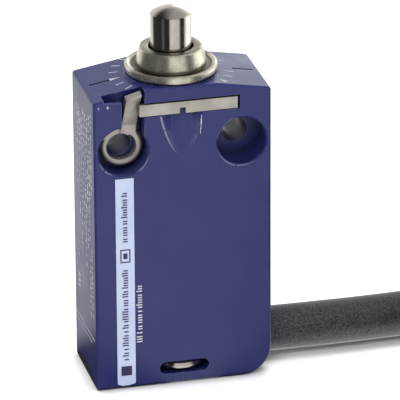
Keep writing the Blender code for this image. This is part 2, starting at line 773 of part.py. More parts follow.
# ---------------------------------------------------------------- plug, staple, lead
def make_plug(mats, body):
    def elbow(bm):
        outline = [(-5.1, 0.6), (12.6, 0.6), (12.6, 8.7), (-5.1, 8.7)]
        add_prism(bm, outline, -POCKET_Y + SMALL, POCKET_Y - SMALL)

    plug = new_object("plug_body", elbow, mats["plug"])
    bevel(plug, 0.5, 2)

    def spigot(bm):
        groove = PLUG_R - 0.7
        profile = [(0, 8.0), (PLUG_R, 8.0), (PLUG_R, 9.5), (groove, 9.5), (groove, 10.5)]
        profile += [(PLUG_R, 10.5), (PLUG_R, 13.1), (PLUG_R - 0.2, 13.3), (0, 13.3)]
        add_turned(bm, profile, segments=36)

    cut(plug, "spigot", spigot, "UNION")

    def sockets(bm):
        for y in PINS.values():
            for side in (-1, 1):
                add_rod(bm, 0.6, 10.8, 14, (side * PIN_X, y, 0), segments=12)

    cut(plug, "sockets", sockets)

    def cross_holes(bm):
        for side in (-1, 1):
            add_rod(bm, WIRE_R + 0.25, -6, 6, (side * STAPLE_X, 0, SLOT_Z), "Y", 16)

    cut(plug, "cross_holes", cross_holes)
    hang(plug, body)

    seal = new_object(
        "plug_seal",
        lambda bm: add_ring(bm, 3.16, 0.4, (0, 0, 10.0), segments=28, around=8),
        mats["rubber"],
        (0, 0, 10.0),
    )
    hang(seal, plug)

    def staple(bm):
        centre = [v3((-STAPLE_X, 5.7, SLOT_Z)), v3((-STAPLE_X, 0, SLOT_Z))]
        for i in range(17):
            t = math.radians(180 + 180 * i / 16)
            bow = abs(math.sin(t)) ** 0.6
            x, y = STAPLE_X * math.cos(t), FRONT + 3.9 - 3.02 * bow
            centre.append(v3((x, y, SLOT_Z)))
        centre += [v3((STAPLE_X, 0, SLOT_Z)), v3((STAPLE_X, 5.7, SLOT_Z))]
        add_tube(bm, centre, WIRE_R, 10)

    one = new_object("staple", staple, mats["steel"], (0, FRONT + 0.88, SLOT_Z))
    hang(one, body)

    collar = new_object(
        "cable_collar",
        lambda bm: add_turned(
            bm,
            [(0, 12.9), (3.9, 12.9), (4.1, 13.1), (4.1, 14.2), (3.9, 14.4), (0, 14.4)],
            (0, 0, CABLE_Z),
            "X",
            32,
        ),
        mats["sheath"],
        (12.9, 0, CABLE_Z),
    )
    hang(collar, plug)
    return plug


COIL_AT = (79.0, -37.0)  # centre of the coil on the floor
COIL_R = 38.1  # to the middle of the bundle
BUNDLE = (15.2, 15.4)  # width and height of the bundle
INNER_TURN = 34.3  # to the middle of the inner turns
TAIL_BEND, TAIL_FROM = 30.0, 250  # how the tail turns in, and where it leaves the inner turn


def smooth_route(points, count):
    """Points along a smooth curve through the given ones (centripetal spline)."""
    pts = [Vector(p) for p in points]
    pts = [pts[0] * 2 - pts[1]] + pts + [pts[-1] * 2 - pts[-2]]
    dense = []
    for i in range(1, len(pts) - 2):
        p0, p1, p2, p3 = pts[i - 1 : i + 3]
        for k in range(20):
            t = k / 20
            a = 2 * p1 + (p2 - p0) * t
            b = (2 * p0 - 5 * p1 + 4 * p2 - p3) * t * t
            c = (3 * p1 - p0 - 3 * p2 + p3) * t**3
            dense.append((a + b + c) * 0.5)
    dense.append(pts[-2])
    reach = [0.0]
    for a, b in zip(dense, dense[1:]):
        reach.append(reach[-1] + (b - a).length)
    out = []
    j = 0
    for i in range(count):
        want = reach[-1] * i / (count - 1)
        while j < len(reach) - 2 and reach[j + 1] < want:
            j += 1
        t = (want - reach[j]) / max(reach[j + 1] - reach[j], 1e-9)
        out.append(dense[j].lerp(dense[j + 1], min(max(t, 0.0), 1.0)))
    return out


def curve_tube(name, points, radius, mat, count, resolution=3):
    data = bpy.data.curves.new(name, "CURVE")
    data.dimensions = "3D"
    data.resolution_u = 1
    data.bevel_depth = radius * MM
    data.bevel_resolution = resolution
    data.use_fill_caps = True
    spline = data.splines.new("POLY")
    route = smooth_route(points, count)
    spline.points.add(len(route) - 1)
    for q, p in zip(spline.points, route):
        q.co = (p.x * MM, p.y * MM, p.z * MM, 1.0)
    data.materials.append(mat)
    obj = bpy.data.objects.new(name, data)
    bpy.context.collection.objects.link(obj)
    return obj


def make_lead(mats):
    run = [(14.7, 0, CABLE_Z), (19, 0.05, CABLE_Z - 0.1), (25, 0.2, 4.3), (31, 0.6, 4.1)]
    run += [(38, 1.0, 4.0), (46.0, 1.5, 3.95)]
    curve_tube("cable", run, CABLE_D / 2, mats["sheath"], 9)

    w, h = BUNDLE[0] / 2, BUNDLE[1]

    def ring(bm):
        profile = [(COIL_R - w, 4), (COIL_R - w + 2.6, 0.2), (COIL_R + w - 2.6, 0.2)]
        profile += [(COIL_R + w, 4), (COIL_R + w, h - 4), (COIL_R + w - 2.6, h)]
        profile += [(COIL_R - w + 2.6, h), (COIL_R - w, h - 4)]
        add_turned(bm, profile, (*COIL_AT, 0), "Z", 48)

    new_object("cable_coil", ring, mats["sheath"], (*COIL_AT, 0))

    # the last of the sheath turns in off the inner turn, and its five leads lie in the ring
    def inner(radius, degrees, z):
        t = math.radians(degrees)
        return (COIL_AT[0] + radius * math.cos(t), COIL_AT[1] + radius * math.sin(t), z)

    hub = inner(INNER_TURN - TAIL_BEND, TAIL_FROM, 4.0)
    tail = []
    for turned in (148, 154, 160, 165, 170):
        t = math.radians(TAIL_FROM - turned)
        tail.append((hub[0] + TAIL_BEND * math.cos(t), hub[1] + TAIL_BEND * math.sin(t), 4.05))
    curve_tube("cable_tail", tail, CABLE_D / 2, mats["sheath"], 5)
    colours = ["wire_bn", "wire_bu", "wire_bk", "wire_wh", "wire_gn"]
    for i, key in enumerate(colours):
        t = math.radians(90 + 72 * i)
        off, up = 1.65 * math.cos(t), 1.65 * math.sin(t)
        last = 22.3 + 2.35 * {1: 2, 2: 1, 0: 0, 3: -1, 4: -2}[i]
        points = [inner(25.8 - off, 80.8, 4.05 + up), inner(25.2 - 1.3 * off, 66, 3.4 + up)]
        mid = (24.4 - 1.3 * off + last) / 2
        points += [inner(mid, 40, 1.5 + 0.35 * (1.65 + up)), inner(last, 10, 0.95)]
        points += [inner(last, -14, 0.95)]
        curve_tube(f"lead_{i + 1}", points, 0.75, mats[key], 14, 2)
        way = (Vector(points[-1]) - Vector(inner(last, -13, 0.95))).normalized()
        tip = Vector(points[-1]) + way * 0.35
        end = tip + way * 7.5
        curve_tube(f"ferrule_{i + 1}", [tip, tip.lerp(end, 0.5), end], 0.6, mats["silver"], 3, 2)


def make_tie(mats):
    """A band round the coil's bundle, at the side farthest from the switch."""
    x = COIL_AT[0] + COIL_R
    w, h = BUNDLE[0] / 2 + 0.4, BUNDLE[1]

    def band(bm):
        y = (COIL_AT[1] - 2.0, COIL_AT[1] + 2.0)
        add_box(bm, (x - w - 0.8, x + w + 0.8), y, (-0.0, h + 1.3))

    tie = new_object("coil_tie", band, mats["carrier"])

    def inside(bm):
        y = (COIL_AT[1] - 4.0, COIL_AT[1] + 4.0)
        add_box(bm, (x - w, x + w), y, (0.05, h + 0.4))

    cut(tie, "tie_inside", inside)
    return tie


def make_label(mats, body):
    def film(bm):
        outline = [(-11.5, 0.9), (-10.6, 0.55), (-9.4, 0.6), (-8.4, 0.9), (-8.4, 37.9)]
        outline += [(-11.5, 37.9)]
        add_prism(bm, outline, FRONT - 0.12, FRONT - 0.02)

    hang(new_object("label", film, mats["label"]), body)


def main():
    clear_scene()
    mats = make_materials()
    body = make_housing(mats)
    bpy.context.view_layer.update()
    make_cover(mats, body)
    head = make_head(mats, body)
    make_clip(mats, body)
    block = make_block(mats, body)
    make_contacts(mats, block)
    make_carrier(mats, block)
    make_plug(mats, body)
    make_label(mats, body)
    make_lead(mats)
    make_tie(mats)
    return head


if __name__ == "__main__":
    main()
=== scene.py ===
"""Looks for a miniature plunger limit switch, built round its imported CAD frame."""

import json
import logging
import math
import random
from dataclasses import dataclass, field
from enum import Enum
from typing import ClassVar

import bmesh
import bpy
from mathutils import Matrix, Vector

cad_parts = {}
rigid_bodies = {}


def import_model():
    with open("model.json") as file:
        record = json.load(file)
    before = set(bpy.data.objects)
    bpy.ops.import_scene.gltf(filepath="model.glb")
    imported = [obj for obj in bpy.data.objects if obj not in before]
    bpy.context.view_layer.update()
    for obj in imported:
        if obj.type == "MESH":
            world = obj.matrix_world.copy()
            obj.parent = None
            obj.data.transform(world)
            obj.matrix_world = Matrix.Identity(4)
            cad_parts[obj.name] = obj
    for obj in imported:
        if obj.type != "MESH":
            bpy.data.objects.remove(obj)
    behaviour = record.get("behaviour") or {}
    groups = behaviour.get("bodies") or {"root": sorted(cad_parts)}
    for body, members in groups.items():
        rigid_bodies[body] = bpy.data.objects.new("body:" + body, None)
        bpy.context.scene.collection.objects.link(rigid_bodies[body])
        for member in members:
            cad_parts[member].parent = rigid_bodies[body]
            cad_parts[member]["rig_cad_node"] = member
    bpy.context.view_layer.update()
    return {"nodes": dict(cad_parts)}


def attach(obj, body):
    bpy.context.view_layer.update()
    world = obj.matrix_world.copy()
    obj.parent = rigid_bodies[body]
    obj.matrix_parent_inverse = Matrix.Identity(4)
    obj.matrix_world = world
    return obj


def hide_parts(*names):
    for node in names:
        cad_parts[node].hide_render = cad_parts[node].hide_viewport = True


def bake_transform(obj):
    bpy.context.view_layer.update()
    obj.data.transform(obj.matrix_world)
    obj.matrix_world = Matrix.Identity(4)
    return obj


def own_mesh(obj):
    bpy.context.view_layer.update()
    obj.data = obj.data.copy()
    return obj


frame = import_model()
MM = 0.001
LOG = logging.getLogger("limit_switch")

Point = tuple[float, float, float]
Flat = tuple[float, float]


# ------------------------------------------------------------------ finishes
class Grain(Enum):
    """How a finish breaks up under the light."""

    CAST = "cast"
    TURNED = "turned"
    SHEET = "sheet"
    MOULDED = "moulded"
    SHEATH = "sheath"
    PLAIN = "plain"


@dataclass(frozen=True)
class Finish:
    """One finish of the switch.

    Args:
        name: material name.
        colour: linear base colour.
        second: linear colour that the grain drifts towards.
        rough: roughness.
        metal: metallic value.
        grain: kind of surface break-up.
        relief: strength of the bump, 0 to 1.
        coat: clear coat weight.
        edge_wear_highlight: how far edges show lighter, 0 to 1; partly wear, partly a painted highlight.
        edge_wear_highlight_colour: linear colour of those worn and highlit edges.
        painted_shade: how far painted shade darkens corners, crevices and holes, 0 to 1.
        specular: strength of the paint's own sheen.
        slot: the record's material slot; not used.
    """

    name: str
    colour: Point
    second: Point
    rough: float
    metal: float
    grain: Grain
    relief: float
    slot: str
    coat: float = 0.0
    edge_wear_highlight: float = 0.0
    edge_wear_highlight_colour: Point = (0.5, 0.5, 0.5)
    painted_shade: float = 0.0
    specular: float = 0.5


# In these finishes, lighter edges are partly wear and partly a painted highlight; darkened corners and holes are
# painted shade.
BLUE = Finish("indigo_paint", (0.013, 0.018, 0.107), (0.018, 0.024, 0.124), 0.40, 0.0,
              Grain.CAST, 0.16, "cast", 0.24, 0.60, (0.21, 0.22, 0.38), 0.70, 0.40)
PLATE = Finish("plated_zinc", (0.76, 0.735, 0.60), (0.50, 0.48, 0.38), 0.27, 0.90,
               Grain.TURNED, 0.40, "nickel", 0.0, 0.75, (0.92, 0.90, 0.82), 0.95)
POLISH = Finish("polished_steel", (0.62, 0.57, 0.52), (0.56, 0.51, 0.46), 0.13, 1.0,
                Grain.TURNED, 0.06, "steel")
CLIP = Finish("satin_clip", (0.62, 0.585, 0.53), (0.53, 0.50, 0.45), 0.44, 0.85,
              Grain.SHEET, 0.12, "clip", 0.0, 0.3, (0.70, 0.67, 0.62), 0.6)
SPRING = Finish("spring_wire", (0.46, 0.45, 0.42), (0.36, 0.35, 0.32), 0.30, 1.0,
                Grain.SHEET, 0.08, "spring")
BRASS = Finish("contact_brass", (0.68, 0.47, 0.18), (0.55, 0.36, 0.12), 0.32, 1.0,
               Grain.SHEET, 0.10, "brass")
TIN = Finish("tinned_sleeve", (0.70, 0.70, 0.70), (0.58, 0.58, 0.58), 0.30, 1.0,
             Grain.SHEET, 0.10, "ferrule")
RESIN = Finish("block_resin", (0.47, 0.44, 0.37), (0.42, 0.39, 0.33), 0.50, 0.0,
               Grain.MOULDED, 0.15, "resin")
CREAM = Finish("carrier_resin", (0.68, 0.63, 0.50), (0.62, 0.57, 0.45), 0.45, 0.0,
               Grain.MOULDED, 0.12, "carrier")
NYLON = Finish("tie_nylon", (0.66, 0.66, 0.64), (0.60, 0.60, 0.57), 0.40, 0.0,
               Grain.MOULDED, 0.10, "tie")
PLUG = Finish("plug_resin", (0.022, 0.022, 0.026), (0.030, 0.030, 0.034), 0.48, 0.0,
              Grain.MOULDED, 0.25, "plug")
SEAL = Finish("seal_rubber", (0.018, 0.018, 0.018), (0.026, 0.026, 0.026), 0.65, 0.0,
              Grain.MOULDED, 0.20, "rubber")
SHEATH = Finish("cable_sheath", (0.010, 0.009, 0.011), (0.072, 0.068, 0.076), 0.46, 0.0,
                Grain.SHEATH, 0.60, "sheath")
LABEL = Finish("label_film", (0.44, 0.50, 0.68), (0.49, 0.55, 0.72), 0.45, 0.0,
               Grain.PLAIN, 0.05, "label")
INK_DARK = Finish("dark_ink", (0.030, 0.024, 0.080), (0.036, 0.030, 0.090), 0.50, 0.0,
                  Grain.PLAIN, 0.05, "label")
# Painted highlight: a lighter blue laid along the front hollow's left edge and the counterbores' rims.
HIGHLIGHT_PAINT = Finish("painted_highlight", (0.150, 0.150, 0.270), (0.210, 0.210, 0.340), 0.34, 0.0,
                Grain.CAST, 0.14, "cast", 0.16)
INK_SOFT = Finish("worn_ink", (0.26, 0.27, 0.35), (0.50, 0.51, 0.58), 0.50, 0.0,
                  Grain.PLAIN, 0.05, "label")
INK_WHITE = Finish("white_ink", (0.52, 0.56, 0.62), (0.42, 0.46, 0.52), 0.50, 0.0,
                   Grain.PLAIN, 0.05, "label")
WIRES = (
    Finish("brown_wire", (0.090, 0.030, 0.012), (0.11, 0.04, 0.016), 0.4, 0.0,
           Grain.MOULDED, 0.1, "wire_brown"),
    Finish("blue_wire", (0.015, 0.060, 0.300), (0.02, 0.07, 0.33), 0.4, 0.0,
           Grain.MOULDED, 0.1, "wire_blue"),
    Finish("black_wire", (0.012, 0.012, 0.012), (0.018, 0.018, 0.018), 0.4, 0.0,
           Grain.MOULDED, 0.1, "wire_black"),
    Finish("white_wire", (0.70, 0.70, 0.66), (0.64, 0.64, 0.60), 0.4, 0.0,
           Grain.MOULDED, 0.1, "wire_white"),
    Finish("green_wire", (0.060, 0.240, 0.040), (0.07, 0.27, 0.05), 0.4, 0.0,
           Grain.MOULDED, 0.1, "wire_green"),
)


class NodeSheet:
    """A small helper round one node tree."""

    def __init__(self, tree: bpy.types.NodeTree) -> None:
        """Start on a tree.

        Args:
            tree: the tree that the nodes go into.
        """
        self.tree = tree

    def add(self, kind: str, **values: object) -> bpy.types.Node:
        """Add a node.

        Args:
            kind: the node's type name, without its ShaderNode prefix.
            values: properties to set.

        Returns:
            The new node.
        """
        node = self.tree.nodes.new(f"ShaderNode{kind}")
        for key, value in values.items():
            setattr(node, key, value)
        return node

    def add_group_ends(self) -> tuple[bpy.types.Node, bpy.types.Node]:
        """Add a group's input and output nodes.

        Returns:
            The input node and the output node.
        """
        return self.tree.nodes.new("NodeGroupInput"), self.tree.nodes.new("NodeGroupOutput")

    def wire(self, source: bpy.types.NodeSocket, target: bpy.types.NodeSocket) -> None:
        """Link two sockets."""
        self.tree.links.new(source, target)

    def ease(self, value: object, source: Flat, target: Flat) -> bpy.types.NodeSocket:
        """Map a value smoothly from one range to another.

        Args:
            value: the socket to map.
            source: where it starts and stops changing.
            target: what it becomes there.

        Returns:
            The mapped value.
        """
        node = self.add("MapRange", interpolation_type="SMOOTHSTEP")
        for key, number in zip(("From Min", "From Max", "To Min", "To Max"), (*source, *target)):
            node.inputs[key].default_value = number
        self.wire(value, node.inputs["Value"])
        return node.outputs["Result"]

    def math(self, operation: str, a: object, b: object = 0.0) -> bpy.types.NodeSocket:
        """Add a Math node.

        Args:
            operation: the Math operation.
            a: a socket or a number.
            b: a socket or a number.

        Returns:
            The node's output.
        """
        node = self.add("Math", operation=operation)
        for i, value in enumerate((a, b)):
            if isinstance(value, bpy.types.NodeSocket):
                self.wire(value, node.inputs[i])
            else:
                node.inputs[i].default_value = value
        return node.outputs[0]


class GrainGroups:
    """The shared shader groups: fine grain, turning marks with painted groove shade, worn and highlit edges, and
    painted crevice shade.
    """

    def __init__(self) -> None:
        """Build each group once."""
        self.grain = self._grain()
        self.turning = self._turning()
        self.edges = self._edges()
        self.crevice_shade = self._crevice_shade()

    @staticmethod
    def _new(name: str, ins: dict[str, float], outs: tuple[str, ...]) -> tuple:
        """Make an empty group.

        Args:
            name: the group's name.
            ins: its number inputs and their defaults.
            outs: its outputs.

        Returns:
            The tree, its sheet, its input node and its output node.
        """
        tree = bpy.data.node_groups.new(name, "ShaderNodeTree")
        for key, value in ins.items():
            made = tree.interface.new_socket(key, in_out="INPUT", socket_type="NodeSocketFloat")
            made.default_value = value
        for key in outs:
            tree.interface.new_socket(key, in_out="OUTPUT", socket_type="NodeSocketFloat")
        sheet = NodeSheet(tree)
        return tree, sheet, tree.nodes.new("NodeGroupInput"), tree.nodes.new("NodeGroupOutput")

    def _grain(self) -> bpy.types.NodeTree:
        """Fine speckle with a slow drift.

        Returns:
            A group with Scale in, and Height and Drift out.
        """
        tree, s, ins, outs = self._new(
            "fine_grain", {"Scale": 3000.0, "Drift Scale": 90.0}, ("Height", "Drift")
        )
        where = s.add("TexCoord")
        fine = s.add("TexNoise")
        fine.inputs["Detail"].default_value = 3.0
        slow = s.add("TexNoise")
        slow.inputs["Detail"].default_value = 4.0
        s.wire(where.outputs["Object"], fine.inputs["Vector"])
        s.wire(where.outputs["Object"], slow.inputs["Vector"])
        s.wire(ins.outputs["Scale"], fine.inputs["Scale"])
        s.wire(ins.outputs["Drift Scale"], slow.inputs["Scale"])
        s.wire(fine.outputs["Fac"], outs.inputs["Height"])
        spread = s.add("MapRange")
        spread.inputs["From Min"].default_value = 0.35
        spread.inputs["From Max"].default_value = 0.65
        s.wire(slow.outputs["Fac"], spread.inputs["Value"])
        s.wire(spread.outputs["Result"], outs.inputs["Drift"])
        return tree

    def _turning(self) -> bpy.types.NodeTree:
        """Fine rings round the vertical axis, as a lathe leaves them.

        Returns:
            A group with Pitch in; Height, Tarnish and a painted-shade mask out, for the flange's groove and the
            boss's top.
        """
        tree, s, ins, outs = self._new(
            "turning_marks", {"Pitch": 9000.0}, ("Height", "Tarnish", "Painted Shade")
        )
        where = s.add("TexCoord")
        split = s.add("SeparateXYZ")
        s.wire(where.outputs["Object"], split.inputs[0])
        xx = s.math("MULTIPLY", split.outputs["X"], split.outputs["X"])
        yy = s.math("MULTIPLY", split.outputs["Y"], split.outputs["Y"])
        radius = s.math("SQRT", s.math("ADD", xx, yy))
        ring = s.add("CombineXYZ")
        s.wire(radius, ring.inputs["X"])
        s.wire(split.outputs["Z"], ring.inputs["Z"])
        lines = s.add("TexNoise")
        lines.inputs["Detail"].default_value = 2.0
        s.wire(ring.outputs[0], lines.inputs["Vector"])
        s.wire(ins.outputs["Pitch"], lines.inputs["Scale"])
        s.wire(lines.outputs["Fac"], outs.inputs["Height"])
        cloud = s.add("TexNoise")
        cloud.inputs["Scale"].default_value = 420.0
        cloud.inputs["Detail"].default_value = 5.0
        cloud.inputs["Roughness"].default_value = 0.65
        s.wire(where.outputs["Object"], cloud.inputs["Vector"])
        spread = s.add("MapRange")
        spread.inputs["From Min"].default_value = 0.38
        spread.inputs["From Max"].default_value = 0.66
        s.wire(cloud.outputs["Fac"], spread.inputs["Value"])
        s.wire(spread.outputs["Result"], outs.inputs["Tarnish"])
        # Painted shade: a dark ring in the flange's groove beside the boss, and a darker band on the boss's top.
        inner = s.ease(radius, (5.72 * MM, 5.92 * MM), (0.0, 1.0))
        outer = s.ease(radius, (6.65 * MM, 7.05 * MM), (1.0, 0.0))
        above = s.ease(split.outputs["Z"], (54.0 * MM, 54.2 * MM), (0.0, 1.0))
        below = s.ease(split.outputs["Z"], (54.6 * MM, 54.95 * MM), (1.0, 0.0))
        ring = s.math("MULTIPLY", s.math("MULTIPLY", inner, outer), s.math("MULTIPLY", above, below))
        crown_shade = s.ease(split.outputs["Z"], (57.38 * MM, 57.49 * MM), (0.0, 0.62))
        low = s.ease(split.outputs["Z"], (58.0 * MM, 58.1 * MM), (1.0, 0.0))
        s.wire(s.math("MAXIMUM", ring, s.math("MULTIPLY", crown_shade, low)), outs.inputs["Painted Shade"])
        return tree

    def _crevice_shade(self) -> bpy.types.NodeTree:
        """Painted shade: darkens inside corners, holes and under ledges.

        Returns:
            A group with Amount in and Mask out.
        """
        tree, s, ins, outs = self._new("crevice_painted_shade", {"Amount": 0.5}, ("Mask",))
        hollow = s.add("AmbientOcclusion", samples=8)
        hollow.inputs["Distance"].default_value = 1.9 * MM
        shade = s.ease(hollow.outputs["AO"], (0.80, 0.30), (0.0, 1.0))
        s.wire(s.math("MULTIPLY", shade, ins.outputs["Amount"]), outs.inputs["Mask"])
        return tree

    def _edges(self) -> bpy.types.NodeTree:
        """Where an edge shows lighter, broken up by noise: partly wear, partly a painted highlight.

        Returns:
            A group with Amount in and Mask out.
        """
        tree, s, ins, outs = self._new("worn_and_highlit_edges", {"Amount": 0.5}, ("Mask",))
        shape = s.add("NewGeometry")
        bent = s.add("Bevel", samples=4)
        bent.inputs["Radius"].default_value = 0.22 * MM
        dot = s.add("VectorMath", operation="DOT_PRODUCT")
        s.wire(bent.outputs["Normal"], dot.inputs[0])
        s.wire(shape.outputs["True Normal"], dot.inputs[1])
        edge = s.add("MapRange")
        edge.inputs["From Min"].default_value = 0.985
        edge.inputs["From Max"].default_value = 0.80
        s.wire(dot.outputs["Value"], edge.inputs["Value"])
        where = s.add("TexCoord")
        patch = s.add("TexNoise")
        patch.inputs["Scale"].default_value = 900.0
        patch.inputs["Detail"].default_value = 4.0
        s.wire(where.outputs["Object"], patch.inputs["Vector"])
        lift = s.add("MapRange")
        lift.inputs["From Min"].default_value = 0.40
        lift.inputs["From Max"].default_value = 0.62
        s.wire(patch.outputs["Fac"], lift.inputs["Value"])
        both = s.math("MULTIPLY", edge.outputs["Result"], lift.outputs["Result"])
        s.wire(s.math("MULTIPLY", both, ins.outputs["Amount"]), outs.inputs["Mask"])
        return tree


class Paintshop:
    """Makes each material once and dresses pieces with it."""

    SCALES = {
        Grain.CAST: (2600.0, 120.0),
        Grain.SHEET: (5200.0, 300.0),
        Grain.MOULDED: (4200.0, 200.0),
        Grain.SHEATH: (4200.0, 3600.0),
        Grain.PLAIN: (3000.0, 150.0),
    }

    def __init__(self) -> None:
        """Build the shared groups."""
        self.groups = GrainGroups()
        self.made: dict[str, bpy.types.Material] = {}

    def material(self, finish: Finish) -> bpy.types.Material:
        """Give the material of a finish.

        Args:
            finish: the finish.

        Returns:
            Its material, made on first use.
        """
        if finish.name in self.made:
            return self.made[finish.name]
        mat = bpy.data.materials.new(finish.name)
        mat.use_nodes = True
        s = NodeSheet(mat.node_tree)
        shader = mat.node_tree.nodes["Principled BSDF"]
        shader.inputs["Metallic"].default_value = finish.metal
        shader.inputs["Coat Weight"].default_value = finish.coat
        shader.inputs["Specular IOR Level"].default_value = finish.specular
        shader.inputs["Coat Roughness"].default_value = 0.25
        mark = s.add("Group")
        if finish.grain is Grain.TURNED:
            mark.node_tree = self.groups.turning
            height, drift = mark.outputs["Height"], mark.outputs["Tarnish"]
        else:
            mark.node_tree = self.groups.grain
            fine, slow = self.SCALES[finish.grain]
            mark.inputs["Scale"].default_value = fine
            mark.inputs["Drift Scale"].default_value = slow
            height, drift = mark.outputs["Height"], mark.outputs["Drift"]
        tint = s.add("Mix", data_type="RGBA")
        tint.inputs[6].default_value = (*finish.colour, 1.0)
        tint.inputs[7].default_value = (*finish.second, 1.0)
        s.wire(drift, tint.inputs[0])
        colour = tint.outputs[2]
        # Lighter edges: partly wear, partly a painted highlight.
        if finish.edge_wear_highlight > 0.0:
            edge_group = s.add("Group", node_tree=self.groups.edges)
            edge_group.inputs["Amount"].default_value = finish.edge_wear_highlight
            edge_mix = s.add("Mix", data_type="RGBA")
            edge_mix.inputs[7].default_value = (*finish.edge_wear_highlight_colour, 1.0)
            s.wire(colour, edge_mix.inputs[6])
            s.wire(edge_group.outputs["Mask"], edge_mix.inputs[0])
            colour = edge_mix.outputs[2]
        # Painted shade: corners, crevices and holes, and on turned parts the flange's groove and the boss's top,
        # are darkened towards these dark browns.
        if finish.painted_shade > 0.0:
            shade_group = s.add("Group", node_tree=self.groups.crevice_shade)
            shade_group.inputs["Amount"].default_value = finish.painted_shade
            shade_mask = shade_group.outputs["Mask"]
            if finish.grain is Grain.TURNED:
                shade_mask = s.math("MAXIMUM", shade_mask, mark.outputs["Painted Shade"])
            shade_mix = s.add("Mix", data_type="RGBA", blend_type="MULTIPLY")
            shade_mix.inputs[7].default_value = (0.22, 0.18, 0.16, 1.0)
            if finish.grain is Grain.TURNED:
                shade_mix.inputs[7].default_value = (0.11, 0.085, 0.065, 1.0)
            s.wire(colour, shade_mix.inputs[6])
            s.wire(shade_mask, shade_mix.inputs[0])
            colour = shade_mix.outputs[2]
        s.wire(colour, shader.inputs["Base Color"])
        rough = s.add("MapRange")
        rough.inputs["To Min"].default_value = max(0.03, finish.rough - 0.05)
        rough.inputs["To Max"].default_value = finish.rough + 0.07
        s.wire(drift, rough.inputs["Value"])
        s.wire(rough.outputs["Result"], shader.inputs["Roughness"])
        bump = s.add("Bump")
        bump.inputs["Strength"].default_value = finish.relief
        bump.inputs["Distance"].default_value = 0.04 * MM
        s.wire(height, bump.inputs["Height"])
        s.wire(bump.outputs["Normal"], shader.inputs["Normal"])
        self.made[finish.name] = mat
        return mat

    def dress(self, obj: bpy.types.Object, finish: Finish) -> bpy.types.Object:
        """Put one finish on a piece.

        Args:
            obj: the piece.
            finish: its finish.

        Returns:
            The piece.
        """
        obj.data.materials.clear()
        obj.data.materials.append(self.material(finish))
        return obj


# ------------------------------------------------------------------ mesh making
class MeshMaker:
    """Builds meshes in millimetres and places them in the row frame."""

    @staticmethod
    def turned(name: str, profile: list[Flat], steps: int = 128) -> bpy.types.Object:
        """Turn a closed outline round the vertical axis.

        Args:
            name: the piece's name.
            profile: (radius, height) points; a radius of 0 makes a pole.
            steps: how many steps round.

        Returns:
            The new piece.
        """
        bm = bmesh.new()
        rings: list[list[bmesh.types.BMVert]] = []
        for r, z in profile:
            if r < 1e-6:
                rings.append([bm.verts.new((0, 0, z * MM))])
                continue
            ring = []
            for i in range(steps):
                t = 2 * math.pi * i / steps
                ring.append(bm.verts.new((r * MM * math.cos(t), r * MM * math.sin(t), z * MM)))
            rings.append(ring)
        for k, a in enumerate(rings):
            b = rings[(k + 1) % len(rings)]
            if len(a) == 1 and len(b) == 1:
                continue
            for i in range(steps):
                j = (i + 1) % steps
                if len(a) == 1:
                    bm.faces.new((a[0], b[j], b[i]))
                elif len(b) == 1:
                    bm.faces.new((a[i], a[j], b[0]))
                else:
                    bm.faces.new((a[i], a[j], b[j], b[i]))
        return MeshMaker.finish(name, bm, 32)

    @staticmethod
    def finish(name: str, bm: bmesh.types.BMesh, angle: float) -> bpy.types.Object:
        """Turn a bmesh into a smooth-shaded object.

        Args:
            name: the object's name.
            bm: the mesh, which is freed.
            angle: edges sharper than this, in degrees, stay sharp.

        Returns:
            The new object.
        """
        bmesh.ops.recalc_face_normals(bm, faces=bm.faces)
        mesh = bpy.data.meshes.new(name)
        bm.to_mesh(mesh)
        bm.free()
        for poly in mesh.polygons:
            poly.use_smooth = True
        mesh.set_sharp_from_angle(angle=math.radians(angle))
        obj = bpy.data.objects.new(name, mesh)
        bpy.context.scene.collection.objects.link(obj)
        return obj

    @staticmethod
    def slab(bm: bmesh.types.BMesh, corners: list[Vector], lift: Vector) -> None:
        """Add a thin closed plate.

        Args:
            bm: the mesh to add to.
            corners: its outline, in metres.
            lift: from the outline to its other face.
        """
        a = [bm.verts.new(c) for c in corners]
        b = [bm.verts.new(c + lift) for c in corners]
        bm.faces.new(a)
        bm.faces.new(b[::-1])
        for i in range(len(a)):
            j = (i + 1) % len(a)
            bm.faces.new((a[i], b[i], b[j], a[j]))

    @staticmethod
    def from_cad(node: str, name: str, edge: float = 0.0, angle: float = 35) -> bpy.types.Object:
        """Make a welded, softened copy of a CAD node's shape.

        Args:
            node: the CAD node.
            name: the new piece's name.
            edge: width of the softened edge, mm.
            angle: edges sharper than this, in degrees, are softened or stay sharp.

        Returns:
            The new piece, which stands for the node.
        """
        bm = bmesh.new()
        bm.from_mesh(frame["nodes"][node].data)
        bmesh.ops.remove_doubles(bm, verts=bm.verts, dist=1e-6)
        bmesh.ops.dissolve_limit(
            bm, angle_limit=math.radians(0.6), verts=bm.verts, edges=bm.edges
        )
        piece = MeshMaker.finish(name, bm, angle)
        if edge > 0.0:
            soft = piece.modifiers.new("soft_edge", "BEVEL")
            soft.width = edge * MM
            soft.segments = 2
            soft.limit_method = "ANGLE"
            soft.angle_limit = math.radians(angle)
        even = piece.modifiers.new("even_normals", "WEIGHTED_NORMAL")
        even.keep_sharp = True
        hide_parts(node)
        return piece


    @staticmethod
    def coil_down(coil: bpy.types.Object, joint: str, seat: float, keep: float) -> None:
        """Give a coil spring its own copy of its mesh.

        Args:
            coil: the spring.
            joint: the joint that works the spring; not used.
            seat: height of the end that stays put, mm; not used.
            keep: its shortest length over its length at rest; not used.
        """
        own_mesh(coil)


